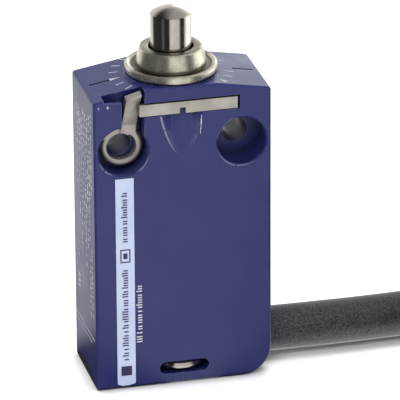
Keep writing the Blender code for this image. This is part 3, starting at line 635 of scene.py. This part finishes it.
def smooth_curve(points: list[Vector], step: float) -> list[Vector]:
    """Lay evenly spaced points on a smooth curve through the given ones.

    Args:
        points: the points to pass through, mm.
        step: the spacing, mm.

    Returns:
        The points, mm.
    """
    pts = [points[0] * 2 - points[1], *points, points[-1] * 2 - points[-2]]
    dense: list[Vector] = []
    for i in range(1, len(pts) - 2):
        p0, p1, p2, p3 = pts[i - 1 : i + 3]
        for k in range(12):
            t = k / 12
            b = (p2 - p0) * t + (2 * p0 - 5 * p1 + 4 * p2 - p3) * t * t
            c = (3 * p1 - p0 - 3 * p2 + p3) * t**3
            dense.append((2 * p1 + b + c) * 0.5)
    dense.append(pts[-2])
    out, run, want = [dense[0]], 0.0, step
    for a, b in zip(dense, dense[1:]):
        gap = (b - a).length
        while gap > 0 and run + gap >= want:
            out.append(a.lerp(b, (want - run) / gap))
            want += step
        run += gap
    if (out[-1] - dense[-1]).length > step * 0.3:
        out.append(dense[-1])
    return out


# ------------------------------------------------------------------ camera and light
@dataclass
class Studio:
    """The camera, the pale floor and the soft light."""

    aim: Vector = field(default_factory=lambda: Vector((0, 0, 28)))
    azimuth: float = -13.90
    elevation: float = 23.05
    roll: float = -0.32
    distance: float = 800.0
    offset: Flat = (-4.64, -1.62)
    lens: float = 432.4
    sky: float = 0.46
    floor_glow: float = 0.42
    CARDS: ClassVar[tuple[Flat, ...]] = (
        (-179.0, 1.15), (-140.0, 1.05), (-118.0, 0.90), (-106.0, 0.05), (-52.0, 0.03),
        (-42.0, 0.16), (-32.0, 0.03), (-8.0, 0.03), (-4.0, 0.70), (4.0, 0.92), (46.0, 0.80),
        (54.0, 0.04), (76.0, 0.04), (86.0, 1.10), (102.0, 1.90), (122.0, 1.90), (140.0, 1.10),
        (179.0, 1.15),
    )

    def camera(self) -> bpy.types.Object:
        """Set up the camera.

        Returns:
            The camera.
        """
        a, e = math.radians(self.azimuth), math.radians(self.elevation)
        back = Vector((math.sin(a) * math.cos(e), -math.cos(a) * math.cos(e), math.sin(e)))
        right = Vector((0, 0, 1)).cross(back).normalized()
        up = back.cross(right)
        c, s = math.cos(math.radians(self.roll)), math.sin(math.radians(self.roll))
        right, up = right * c + up * s, up * c - right * s
        place = self.aim + back * self.distance - right * self.offset[0] - up * self.offset[1]
        data = bpy.data.cameras.new("camera")
        data.lens = self.lens
        data.sensor_width = 36.0
        data.clip_start, data.clip_end = 0.01, 20.0
        cam = bpy.data.objects.new("camera", data)
        turn = Matrix((right, up, back)).transposed().to_4x4()
        cam.matrix_world = Matrix.Translation(place * MM) @ turn
        bpy.context.scene.collection.objects.link(cam)
        bpy.context.scene.camera = cam
        return cam

    def cards(self) -> bpy.types.NodeTree:
        """Say how bright the room is, by bearing, where bare metal mirrors it.

        Returns:
            A group with a Way in and a Light out: two dark cards stand in a pale room.
        """
        tree = bpy.data.node_groups.new("room_cards", "ShaderNodeTree")
        tree.interface.new_socket("Way", in_out="INPUT", socket_type="NodeSocketVector")
        tree.interface.new_socket("Light", in_out="OUTPUT", socket_type="NodeSocketFloat")
        s = NodeSheet(tree)
        ins, outs = s.add_group_ends()
        unit = s.add("VectorMath", operation="NORMALIZE")
        s.wire(ins.outputs["Way"], unit.inputs[0])
        split = s.add("SeparateXYZ")
        s.wire(unit.outputs[0], split.inputs[0])
        bearing = s.math("ARCTAN2", split.outputs["X"], s.math("MULTIPLY", split.outputs["Y"], -1.0))
        turned = s.math("ADD", bearing, math.radians(180.0 - self.azimuth))
        part = s.math("FRACT", s.math("DIVIDE", turned, 2 * math.pi))
        ramp = s.add("ValToRGB")
        stops = ramp.color_ramp.elements
        for bearing_at, light in self.CARDS:
            stop = stops.new(bearing_at / 360.0 + 0.5)
            stop.color = (light, light, light, 1.0)
        stops.remove(stops[0])
        stops.remove(stops[-1])
        s.wire(part, ramp.inputs[0])
        across = s.add("VectorMath", operation="DOT_PRODUCT")
        turn = math.radians(self.azimuth)
        across.inputs[1].default_value = (math.cos(turn), math.sin(turn), 0.0)
        s.wire(unit.outputs[0], across.inputs[0])
        overhead = s.ease(across.outputs["Value"], (-0.42, 0.25), (0.04, 0.62))
        high = s.ease(split.outputs["Z"], (0.45, 0.80), (0.0, 1.0))
        low = s.math("MULTIPLY", ramp.outputs[0], s.math("SUBTRACT", 1.0, high))
        s.wire(s.math("ADD", low, s.math("MULTIPLY", overhead, high)), outs.inputs["Light"])
        return tree

    def floor(self) -> bpy.types.Object:
        """Lay the pale floor.

        Returns:
            The floor.
        """
        bm = bmesh.new()
        reach = 2.5
        ends = [(-reach, -reach), (reach, -reach), (reach, reach), (-reach, reach)]
        bm.faces.new([bm.verts.new((x, y, -0.0001)) for x, y in ends])
        floor = MeshMaker.finish("studio_floor", bm, 60)
        mat = bpy.data.materials.new("pale_floor")
        mat.use_nodes = True
        s = NodeSheet(mat.node_tree)
        shader = mat.node_tree.nodes["Principled BSDF"]
        shader.inputs["Base Color"].default_value = (0.90, 0.90, 0.90, 1.0)
        shader.inputs["Roughness"].default_value = 0.9
        shader.inputs["Emission Color"].default_value = (1.0, 1.0, 1.0, 1.0)
        # Painted light: the floor glows to stay white, and close to the switch the glow fades, which paints a
        # contact shadow.
        near = s.add("AmbientOcclusion", samples=8)
        near.inputs["Distance"].default_value = 2.5 * MM
        glow = s.ease(near.outputs["AO"], (0.45, 1.0), (0.0, self.floor_glow))
        s.wire(glow, shader.inputs["Emission Strength"])
        mirror = s.add("Emission")
        place = s.add("NewGeometry")
        room = s.add("Group", node_tree=self.room)
        s.wire(place.outputs["Position"], room.inputs["Way"])
        s.wire(room.outputs["Light"], mirror.inputs["Strength"])
        path = s.add("LightPath")
        mix = s.add("MixShader")
        s.wire(path.outputs["Is Glossy Ray"], mix.inputs[0])
        s.wire(shader.outputs[0], mix.inputs[1])
        s.wire(mirror.outputs[0], mix.inputs[2])
        s.wire(mix.outputs[0], mat.node_tree.nodes["Material Output"].inputs["Surface"])
        floor.data.materials.append(mat)
        return floor

    def lamp(self, name: str, place: Point, size: Flat, power: float, aim: Point) -> None:
        """Hang one soft box.

        Args:
            name: its name.
            place: where it hangs, in metres.
            size: its width and height, in metres.
            power: in watts.
            aim: what it points at, in metres.
        """
        data = bpy.data.lights.new(name, "AREA")
        data.shape = "RECTANGLE"
        data.size, data.size_y = size
        data.energy = power
        lamp = bpy.data.objects.new(name, data)
        lamp.location = place
        way = Vector(aim) - Vector(place)
        lamp.rotation_euler = way.to_track_quat("-Z", "Y").to_euler()
        lamp.visible_glossy = name == "rim"
        bpy.context.scene.collection.objects.link(lamp)

    def light(self) -> None:
        """Set the sky and hang the soft boxes."""
        world = bpy.data.worlds.new("studio_sky")
        bpy.context.scene.world = world
        world.use_nodes = True
        s = NodeSheet(world.node_tree)
        ground = world.node_tree.nodes["Background"]
        out = world.node_tree.nodes["World Output"]
        ground.inputs["Color"].default_value = (0.95, 0.97, 1.0, 1.0)
        ground.inputs["Strength"].default_value = self.sky
        mirror = s.add("Background")
        where = s.add("TexCoord")
        room = s.add("Group", node_tree=self.room)
        s.wire(where.outputs["Generated"], room.inputs["Way"])
        s.wire(room.outputs["Light"], mirror.inputs["Strength"])
        seen = s.add("Background")
        seen.inputs["Color"].default_value = (1.0, 1.0, 1.0, 1.0)
        seen.inputs["Strength"].default_value = 1.0
        path = s.add("LightPath")
        mix = s.add("MixShader")
        first = s.add("MixShader")
        s.wire(path.outputs["Is Glossy Ray"], first.inputs[0])
        s.wire(ground.outputs[0], first.inputs[1])
        s.wire(mirror.outputs[0], first.inputs[2])
        s.wire(path.outputs["Is Camera Ray"], mix.inputs[0])
        s.wire(first.outputs[0], mix.inputs[1])
        s.wire(seen.outputs[0], mix.inputs[2])
        s.wire(mix.outputs[0], out.inputs["Surface"])
        self.lamp("key", (-0.35, -0.75, 0.85), (0.5, 0.5), 5.6, (0, 0, 0.03))
        self.lamp("fill", (0.65, -0.55, 0.45), (0.4, 0.6), 2.2, (0, 0, 0.03))
        self.lamp("top", (0.0, 0.25, 0.9), (0.7, 0.5), 3.8, (0, 0, 0.03))
        self.lamp("rim", (0.50, 0.85, 0.32), (0.5, 0.3), 0.66, (0, 0, 0.05))
        view = bpy.context.scene.view_settings
        view.view_transform = "Standard"
        view.look = "None"

    def build(self) -> None:
        """Set up all of it."""
        self.camera()
        self.room = self.cards()
        self.floor()
        self.light()
        LOG.info("studio: camera, floor, sky and three soft boxes")


# ------------------------------------------------------------------ lead
@dataclass
class Lead:
    """The free lead: its run, its coil and the tail that turns in off the coil."""

    shop: Paintshop
    diameter: float = 7.6
    exit: Point = (14.7, 0.0, 4.5)
    coil_at: Flat = (79.0, -37.0)
    outer_turn: float = 41.9
    inner_turn: float = 34.3
    low: float = 4.0
    tail_bend: float = 30.0
    tail_from: float = 250.0
    length: float = 1.0

    def route(self) -> list[Vector]:
        """Work out the whole centreline.

        Returns:
            Its points, mm.
        """
        run = [(14.7, 0, 4.5), (19, 0.05, 4.4), (25, 0.2, 4.3), (31, 0.6, 4.1), (38, 1.0, 4.0)]
        run += [(46, 1.5, 4.0), (55, 2.6, 4.0), (66, 4.1, 4.0)]
        pts = [Vector(p) for p in run]
        cx, cy = self.coil_at
        high = self.low + self.diameter
        start, stop = 92.0, self.tail_from - 1440.0
        turned = start
        while turned > stop + 1:
            part = (start - turned) / 360.0
            shift = smooth_step(part, 1.93, 2.08)
            radius = self.outer_turn + (self.inner_turn - self.outer_turn) * shift
            rise = smooth_step(part, 0.93, 1.07) - smooth_step(part, 2.93, 3.07)
            t = math.radians(turned)
            z = self.low + (high - self.low) * rise
            pts.append(Vector((cx + radius * math.cos(t), cy + radius * math.sin(t), z)))
            turned -= 12.0
        t = math.radians(self.tail_from)
        reach = self.inner_turn - self.tail_bend
        hub = Vector((cx + reach * math.cos(t), cy + reach * math.sin(t), 0))
        for turn in (4, 16, 30, 45, 60, 75, 90, 105, 120, 135, 148, 160, 170):
            t = math.radians(self.tail_from - turn)
            side = Vector((math.cos(t), math.sin(t), 0)) * self.tail_bend
            pts.append(hub + side + Vector((0, 0, self.low + 0.05)))
        return smooth_curve(pts, 2.6)

    def tie(self) -> bpy.types.Object:
        """Pull a strap tight round the coil's four strands, with its lock on top.

        Returns:
            The tie.
        """
        cx, cy = self.coil_at
        near, far = cx + self.inner_turn, cx + self.outer_turn
        low, high = self.low, self.low + self.diameter
        bm = bmesh.new()
        rings: list[list[bmesh.types.BMVert]] = []
        for x, z, start in ((far, low, -90), (far, high, 0), (near, high, 90), (near, low, 180)):
            for i in range(9):
                t = math.radians(start + 90 * i / 8)
                ring: list[bmesh.types.BMVert] = []
                for r, y in ((3.78, -2.3), (4.6, -2.3), (4.6, 2.3), (3.78, 2.3)):
                    place = (x + r * math.cos(t), cy + y, max(z + r * math.sin(t), 0.62 - 0.13 * r))
                    ring.append(bm.verts.new(Vector(place) * MM))
                rings.append(ring)
        for a, b in zip(rings, rings[1:] + rings[:1]):
            for k in range(4):
                bm.faces.new((a[k], a[(k + 1) % 4], b[(k + 1) % 4], b[k]))
        middle = (near + far) / 2
        foot = [(middle + x, cy + y, high + 4.5) for x, y in ((-2.6, -3.1), (2.6, -3.1), (2.6, 3.1), (-2.6, 3.1))]
        MeshMaker.slab(bm, [Vector(p) * MM for p in foot], Vector((0, 0, 2.6 * MM)))
        tie = MeshMaker.finish("lead_tie", bm, 35)
        soft = tie.modifiers.new("soft_edge", "BEVEL")
        soft.width = 0.25 * MM
        soft.segments = 2
        soft.limit_method = "ANGLE"
        soft.angle_limit = math.radians(35)
        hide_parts("coil_tie")
        return self.shop.dress(tie, NYLON)

    def build(self) -> None:
        """Lay the lead and dress its tail's leads, sleeves and tie."""
        data = bpy.data.curves.new("lead_sheath", "CURVE")
        data.dimensions = "3D"
        data.bevel_depth = self.diameter / 2 * MM
        data.bevel_resolution = 6
        data.resolution_u = 1
        data.use_fill_caps = True
        points = self.route()
        spline = data.splines.new("POLY")
        spline.points.add(len(points) - 1)
        for q, p in zip(spline.points, points):
            q.co = (p.x * MM, p.y * MM, p.z * MM, 1.0)
        spline.use_smooth = True
        sheath = bpy.data.objects.new("lead_sheath", data)
        bpy.context.scene.collection.objects.link(sheath)
        self.shop.dress(sheath, SHEATH)
        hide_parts("cable", "cable_coil", "cable_tail")
        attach(sheath, "body")
        parts = []
        for i, finish in enumerate(WIRES, 1):
            wire = MeshMaker.from_cad(f"lead_{i}", f"core_{i}")
            self.shop.dress(wire, finish)
            sleeve = MeshMaker.from_cad(f"ferrule_{i}", f"sleeve_{i}")
            self.shop.dress(sleeve, TIN)
            parts += [wire, sleeve]
        parts.append(self.tie())
        for part in parts:
            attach(part, "body")
        collar = MeshMaker.from_cad("cable_collar", "lead_collar")
        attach(self.shop.dress(collar, SHEATH), "body")
        LOG.info("lead: sheath of %d points, five cores with sleeves, tie, collar", len(points))


def smooth_step(value: float, low: float, high: float) -> float:
    """Ease from 0 to 1 between two values.

    Args:
        value: the value.
        low: where the result leaves 0.
        high: where the result reaches 1.

    Returns:
        The eased result.
    """
    t = min(max((value - low) / (high - low), 0.0), 1.0)
    return t * t * (3 - 2 * t)


# ------------------------------------------------------------------ the switch
@dataclass
class Body:
    """The painted housing, its rear cover and what is printed on it."""

    shop: Paintshop
    shoulder: float = 51.5
    half_width: float = 15.0
    slope: float = 9.6
    front: float = -8.0
    hollow_radius: float = 5.5
    hollow_top: float = 48.6
    hollow_depth: float = 1.35
    hollow_slope: float = 0.1774
    bore_z: float = 42.55
    bore_rim: float = 4.45

    def roof_at(self, x: float) -> float:
        """Give the roof's height at x, mm."""
        return self.shoulder + (self.half_width - abs(x)) * math.tan(math.radians(self.slope))

    def shell(self) -> None:
        """Dress the housing, cover, gasket and screws."""
        housing = MeshMaker.from_cad("housing", "housing_shell", 0.12, 40)
        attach(self.shop.dress(housing, BLUE), "body")
        cover = MeshMaker.from_cad("back_cover", "rear_cover", 0.08)
        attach(self.shop.dress(cover, BLUE), "body")
        gasket = MeshMaker.from_cad("cover_gasket", "rear_gasket")
        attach(self.shop.dress(gasket, SEAL), "body")
        for i in (1, 2, 3, 4):
            screw = MeshMaker.from_cad(f"cover_screw_{i}", f"rear_screw_{i}", 0.05)
            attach(self.shop.dress(screw, POLISH), "body")
        LOG.info("body: housing, cover, gasket, four screws")

    def roof_scale(self) -> None:
        """Print the angle marks on both roof slopes, 15 degrees apart."""
        bm = bmesh.new()
        tilt = math.tan(math.radians(self.slope))

        def on_roof(x: float, y: float) -> Vector:
            return Vector((x * MM, y * MM, (self.roof_at(x) + 0.012) * MM))

        def mark(side: int, angle: float, radius: Flat, widths: Flat) -> None:
            t = math.radians(angle)
            out = Vector((side * math.cos(t), math.sin(t)))
            over = Vector((-out.y, out.x))
            a, b = out * radius[0], out * radius[1]
            p, q = over * widths[0] / 2, over * widths[1] / 2
            corners = [on_roof(c.x, c.y) for c in (a - p, b - q, b + q, a + p)]
            MeshMaker.slab(bm, corners, Vector((0, 0, 0.02 * MM)))

        for angle in (-30, -15, 16, 31, 46):
            mark(-1, angle, (8.85, 10.3), (0.20, 0.24))
        for angle in (-25, -10, 20, 35):
            mark(1, angle, (8.85, 10.3), (0.20, 0.24))
        mark(-1, 0, (8.75, 10.4), (0.06, 0.85))
        mark(1, -41, (8.75, 10.2), (0.06, 0.95))
        scale = MeshMaker.finish("roof_scale", bm, 30)
        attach(self.shop.dress(scale, INK_WHITE), "body")
        LOG.info("roof scale: nine marks and two pointers, slope %.2f", tilt)

    def bars(
        self, name: str, rows: list[tuple], finish: Finish, on_front: bool, lift: float = 0.13
    ) -> None:
        """Print plain bars on the front or the left side.

        Args:
            name: the piece's name.
            rows: (low across, high across, low z, high z) of each bar, mm.
            finish: the ink.
            on_front: True for the front face, False for the left side.
            lift: what the bars stand on, mm off the front face.
        """
        bm = bmesh.new()
        for a0, a1, z0, z1 in rows:
            if on_front:
                y = (self.front - lift - 0.01) * MM
                pts = [(a0, z0), (a1, z0), (a1, z1), (a0, z1)]
                corners = [Vector((p * MM, y, q * MM)) for p, q in pts]
                MeshMaker.slab(bm, corners, Vector((0, -0.02 * MM, 0)))
            else:
                x = (-self.half_width - 0.012) * MM
                pts = [(a0, z0), (a1, z0), (a1, z1), (a0, z1)]
                corners = [Vector((x, p * MM, q * MM)) for p, q in pts]
                MeshMaker.slab(bm, corners, Vector((-0.02 * MM, 0, 0)))
        piece = MeshMaker.finish(name, bm, 30)
        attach(self.shop.dress(piece, finish), "body")
        LOG.info("%s: %d bars", name, len(rows))

    def label(self) -> None:
        """Stick on the label and print plain bars on it, in place of any wording."""
        film = MeshMaker.from_cad("label", "label_strip")
        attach(self.shop.dress(film, LABEL), "body")
        mid, wide = -9.95, 1.25
        rows = [(mid - 0.9, mid + 0.9, 2.4, 4.1)]
        rows += self.ticks(mid, wide, 5.2, 21.8, 3)
        rows += [(mid - 0.85, mid + 0.85, 22.9, 23.1), (mid - 0.85, mid + 0.85, 25.1, 25.3)]
        rows += [(mid - 0.85, mid - 0.65, 23.1, 25.1), (mid + 0.65, mid + 0.85, 23.1, 25.1)]
        rows += [(mid - 0.35, mid + 0.35, 23.6, 24.6)]
        rows += self.ticks(mid, wide, 26.6, 35.2, 4)
        self.bars("label_print", rows, INK_DARK, True)
        self.bars("front_print", self.ticks(-7.55, 1.2, 8.2, 18.4, 5), INK_WHITE, True, 0.0)

    @staticmethod
    def ticks(mid: float, wide: float, low: float, high: float, seed: int) -> list[tuple]:
        """Lay short bars in a row, in place of a line of wording.

        Args:
            mid: the row's middle, mm across.
            wide: how wide the row is, mm.
            low: where it starts, mm up.
            high: where it ends, mm up.
            seed: picks the pattern.

        Returns:
            The bars.
        """
        chance = random.Random(seed)
        rows: list[tuple] = []
        z = low
        while z < high:
            left = mid - wide * chance.choice((0.28, 0.28, 0.5))
            rows.append((left, mid + wide * 0.32, z, z + 0.22))
            z += chance.choice((0.44, 0.44, 0.72))
        return rows

    def side_print(self) -> None:
        """Print plain bars and two ruled lines on the left side."""
        rows: list[tuple] = []
        chance = random.Random(7)
        for y, low, high, wide in (
            (-6.1, 12.6, 25.0, 0.6), (-6.1, 34.5, 48.5, 0.6), (-4.8, 12.0, 23.0, 0.6),
            (-4.8, 26.0, 47.5, 0.7), (-3.4, 24.0, 48.0, 0.6), (-2.0, 20.0, 47.0, 0.7),
            (-0.5, 27.0, 47.5, 0.6), (0.9, 23.0, 46.0, 0.6), (2.3, 28.0, 47.0, 0.7),
            (3.8, 33.0, 47.0, 0.6), (3.4, 14.0, 16.2, 1.3), (3.4, 19.6, 21.8, 1.3),
        ):
            z = low
            while z < high:
                long = chance.uniform(0.3, 1.0)
                shift = chance.uniform(-0.12, 0.12)
                rows.append((y + shift, y + wide + shift, z, z + long))
                z += long + chance.choice((0.32, 0.38, 0.9))
        rows += [(-6.6, 6.6, 8.5, 8.72), (-5.0, 6.2, 7.5, 7.66)]
        self.bars("side_print", rows, INK_SOFT, False)

    def scuffs_and_highlight(self) -> None:
        """Leave a few small knocks in the paint near the clip, and paint a highlight down the front hollow's
        right edge.
        """
        # The first two bars are knocks near the clip; the last three, down the hollow's right edge, are a painted
        # highlight.
        rows = [
            (-14.2, -14.0, 50.5, 50.8), (-12.7, -12.45, 50.45, 50.9), (3.0, 3.1, 45.4, 47.2),
            (3.1, 3.2, 46.3, 47.9), (2.9, 3.0, 44.6, 45.6),
        ]
        self.bars("scuffs_and_painted_highlight", rows, INK_SOFT, True, 0.0)

    def hollow_highlight(self) -> None:
        """Paint a highlight along the left edge of the front hollow."""
        bm = bmesh.new()
        y = (self.front - 0.01) * MM
        line: list[tuple[float, float, float]] = []
        for i in range(25):
            z = 48.2 - 6.6 * i / 24
            deep = self.hollow_depth - self.hollow_slope * (self.hollow_top - z)
            half = math.sqrt(2 * self.hollow_radius * deep - deep * deep)
            line.append((-half, z, 0.30 * (1 - (i / 24) ** 2) + 0.05))
        for (xa, za, wa), (xb, zb, wb) in zip(line, line[1:]):
            pts = [(xa - wa, za), (xa, za), (xb, zb), (xb - wb, zb)]
            corners = [Vector((p * MM, y, q * MM)) for p, q in pts]
            MeshMaker.slab(bm, corners, Vector((0, -0.015 * MM, 0)))
        bmesh.ops.remove_doubles(bm, verts=bm.verts, dist=1e-7)
        edge = MeshMaker.finish("hollow_painted_highlight", bm, 30)
        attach(self.shop.dress(edge, HIGHLIGHT_PAINT), "body")

    def rim_highlights(self) -> None:
        """Paint highlights along parts of the counterbores' rims, the last a bright crescent on the right one."""
        arcs: list[tuple[float, float, float, float, float]] = [
            (10.0, 4.30, 195, 300, 0.14),
            (-10.0, 4.30, 200, 245, 0.14),
            (-10.0, 4.30, 300, 350, 0.16),
            (10.0, 4.20, 100, 175, 0.20),
        ]
        bm = bmesh.new()
        for x, radius, first, last, wide in arcs:
            steps = 24
            ring: list[tuple[float, float, float]] = []
            for i in range(steps + 1):
                turn = math.radians(first + (last - first) * i / steps)
                thick = wide * math.sin(math.pi * i / steps) + 0.02
                ring.append((math.cos(turn), math.sin(turn), thick))
            for (ca, sa, ta), (cb, sb, tb) in zip(ring, ring[1:]):
                sides = ((ca, sa, radius), (ca, sa, radius + ta), (cb, sb, radius + tb), (cb, sb, radius))
                corners: list[Vector] = []
                for c, q, r in sides:
                    y = self.front + max(0.0, self.bore_rim - r) - 0.01
                    corners.append(Vector((x + c * r, y, self.bore_z + q * r)) * MM)
                MeshMaker.slab(bm, corners, Vector((0, -0.015 * MM, 0)))
        bmesh.ops.remove_doubles(bm, verts=bm.verts, dist=1e-7)
        rim_highlights = MeshMaker.finish("rim_painted_highlights", bm, 30)
        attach(self.shop.dress(rim_highlights, HIGHLIGHT_PAINT), "body")

    def arch_shade(self) -> None:
        """Close the low arch on the left side with a near-black sheet, painted shade for the arch's dark inside.
        """
        bm = bmesh.new()
        arch = [(6.5, 0.02), (6.5, 0.3), (5.2, 1.3), (3.6, 1.9), (1.6, 2.25), (-0.6, 2.15)]
        arch += [(-3.0, 1.65), (-5.2, 0.9), (-6.5, 0.26), (-6.5, 0.02)]
        x = (-self.half_width + 0.12) * MM
        corners = [Vector((x, p * MM, q * MM)) for p, q in arch]
        MeshMaker.slab(bm, corners, Vector((0.5 * MM, 0, 0)))
        arch_shade = MeshMaker.finish("arch_painted_shade", bm, 30)
        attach(self.shop.dress(arch_shade, PLUG), "body")

    def build(self) -> None:
        """Make all of it."""
        self.shell()
        self.roof_scale()
        self.label()
        self.side_print()
        self.scuffs_and_highlight()
        self.hollow_highlight()
        self.rim_highlights()
        self.arch_shade()


@dataclass
class Head:
    """The turned head, its plunger and the pieces inside it."""

    shop: Paintshop
    lift: float = 1.5
    spigot: float = 5.6
    flange: float = 7.72
    underside: float = 51.65
    rod: float = 3.4
    guide: float = 3.65
    chamber: float = 4.15

    def shell(self) -> bpy.types.Object:
        """Turn the head at full fineness.

        Returns:
            The head.
        """
        fl, sp, r, bore = self.underside, self.spigot, self.flange, self.chamber
        top = fl + 4.35
        profile: list[Flat] = [(bore, 44.95), (sp - 0.2, 44.95), (sp, 45.15), (sp, 46.8)]
        profile += [(4.7, 46.8), (4.7, 49.2), (sp, 49.2), (sp, 49.85), (4.75, 49.85)]
        profile += [(4.75, 51.25), (sp, 51.25), (sp, fl), (r - 0.42, fl), (r - 0.24, fl + 0.05)]
        profile += [(r - 0.1, fl + 0.18), (r - 0.02, fl + 0.36), (r, fl + 0.6), (r, fl + 0.95)]
        profile += [(r - 0.03, fl + 1.15), (r - 0.1, fl + 1.3), (r - 0.24, fl + 1.41)]
        profile += [(r - 0.4, fl + 1.45), (r - 0.56, fl + 1.42), (7.0, fl + 1.3), (6.85, fl + 1.22)]
        profile += [(6.6, fl + 1.18), (6.0, fl + 1.18), (5.88, fl + 1.22), (5.83, fl + 1.35)]
        profile += [(5.86, fl + 1.6), (5.8, fl + 1.85), (5.5, fl + 3.2), (5.38, fl + 3.8)]
        profile += [(5.32, top - 0.35), (5.2, top - 0.14), (5.02, top - 0.02), (4.8, top)]
        profile += [(4.0, top), (3.86, top - 0.03), (3.76, top - 0.1), (3.69, top - 0.22)]
        profile += [(self.guide, top - 0.4), (self.guide, 55.1), (4.3, 55.1), (4.3, 54.3)]
        profile += [(self.guide, 54.3), (self.guide, 53.6), (bore, 53.6)]
        lifted = [(r, z + self.lift) for r, z in profile]
        head = MeshMaker.turned("head_shell", lifted, 160)
        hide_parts("head")
        crest = [(7.20, 1.38), (7.21, 1.45), (7.25, 1.485), (7.30, 1.495), (7.35, 1.48), (7.38, 1.44)]
        rim = MeshMaker.turned("rim_wear", [(a, z + fl + self.lift) for a, z in crest], 160)
        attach(self.shop.dress(rim, POLISH), "head")
        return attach(self.shop.dress(head, PLATE), "head")

    def plunger(self) -> bpy.types.Object:
        """Turn the plunger at full fineness.

        Returns:
            The plunger.
        """
        top, wide, rod = 62.8, self.chamber - 0.3, self.rod
        profile: list[Flat] = [(0, 44.8), (1.35, 44.8), (1.5, 44.95), (1.5, 52.15), (wide, 52.15)]
        profile += [(wide, 53.1), (rod, 53.3), (rod, top - 1.3), (rod - 0.04, top - 1.18)]
        profile += [(rod - 0.13, top - 1.08), (rod - 0.26, top - 1.0)]
        for r in (2.8, 2.4, 2.0, 1.6, 1.2, 0.8, 0.4, 0.0):
            profile.append((r, top - 0.98 * (r / (rod - 0.26)) ** 2))
        lifted = [(r, z + self.lift) for r, z in profile]
        plunger = MeshMaker.turned("plunger_rod", lifted, 128)
        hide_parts("plunger")
        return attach(self.shop.dress(plunger, POLISH), "plunger")

    def build(self) -> None:
        """Make all of it."""
        self.shell()
        self.plunger()
        for node, name, finish in (
            ("head_seal", "head_ring", SEAL),
            ("plunger_seal", "wiper_ring", SEAL),
            ("spring_plate", "spring_seat", SPRING),
            ("plunger_spring", "return_coil", SPRING),
        ):
            piece = MeshMaker.from_cad(node, name)
            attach(self.shop.dress(piece, finish), "head")
            if node == "plunger_spring":
                MeshMaker.coil_down(piece, "plunger_travel", 47.73, 0.144)
        LOG.info("head: shell, plunger, two seals, spring seat, spring")


@dataclass
class Fasteners:
    """The lock clip and the plug's staple."""

    shop: Paintshop

    def build(self) -> None:
        """Make both."""
        clip = MeshMaker.from_cad("lock_clip", "clip_plate", 0.09, 32)
        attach(self.shop.dress(clip, CLIP), "clip")
        staple = MeshMaker.from_cad("staple", "plug_staple")
        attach(self.shop.dress(staple, POLISH), "staple")
        LOG.info("fasteners: lock clip, staple")


@dataclass
class Works:
    """The contacts, their carrier and the plug inside the body."""

    shop: Paintshop

    def build(self) -> None:
        """Dress every inner piece."""
        table: list[tuple[str, str, Finish, str, float]] = [
            ("contact_block", "block_tray", RESIN, "body", 0.08),
            ("block_cover", "block_lid", RESIN, "body", 0.0),
            ("carrier", "push_carrier", CREAM, "carrier", 0.0),
            ("carrier_spring", "carrier_coil", SPRING, "body", 0.0),
            ("bridge_nc", "front_bridge", BRASS, "bridge_nc", 0.05),
            ("bridge_no", "rear_bridge", BRASS, "bridge_no", 0.05),
            ("bridge_spring_nc", "front_bridge_coil", SPRING, "carrier", 0.0),
            ("bridge_spring_no", "rear_bridge_coil", SPRING, "carrier", 0.0),
            ("plug_body", "elbow_plug", PLUG, "body", 0.08),
            ("plug_seal", "plug_ring", SEAL, "body", 0.0),
        ]
        for tag in ("nc", "no"):
            for hand in ("left", "right"):
                node = f"fixed_contact_{tag}_{hand}"
                table.append((node, f"strip_{tag}_{hand}", BRASS, "body", 0.05))
        for node, name, finish, rides, edge in table:
            piece = self.shop.dress(MeshMaker.from_cad(node, name, edge), finish)
            if node == "bridge_spring_nc":
                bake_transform(piece)
                continue
            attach(piece, rides)
            if node == "carrier_spring":
                MeshMaker.coil_down(piece, "carrier_travel", 32.13, 0.576)
            if node == "bridge_spring_no":
                MeshMaker.coil_down(piece, "bridge_no_float", 29.29, 0.495)
        LOG.info("works: %d pieces", len(table))


def main() -> None:
    """Build the scene in order."""
    logging.basicConfig(level=logging.INFO, format="%(message)s")
    Studio().build()
    shop = Paintshop()
    Lead(shop).build()
    Body(shop).build()
    Head(shop).build()
    Fasteners(shop).build()
    Works(shop).build()
    bpy.context.view_layer.update()


if __name__ == "__main__":
    main()
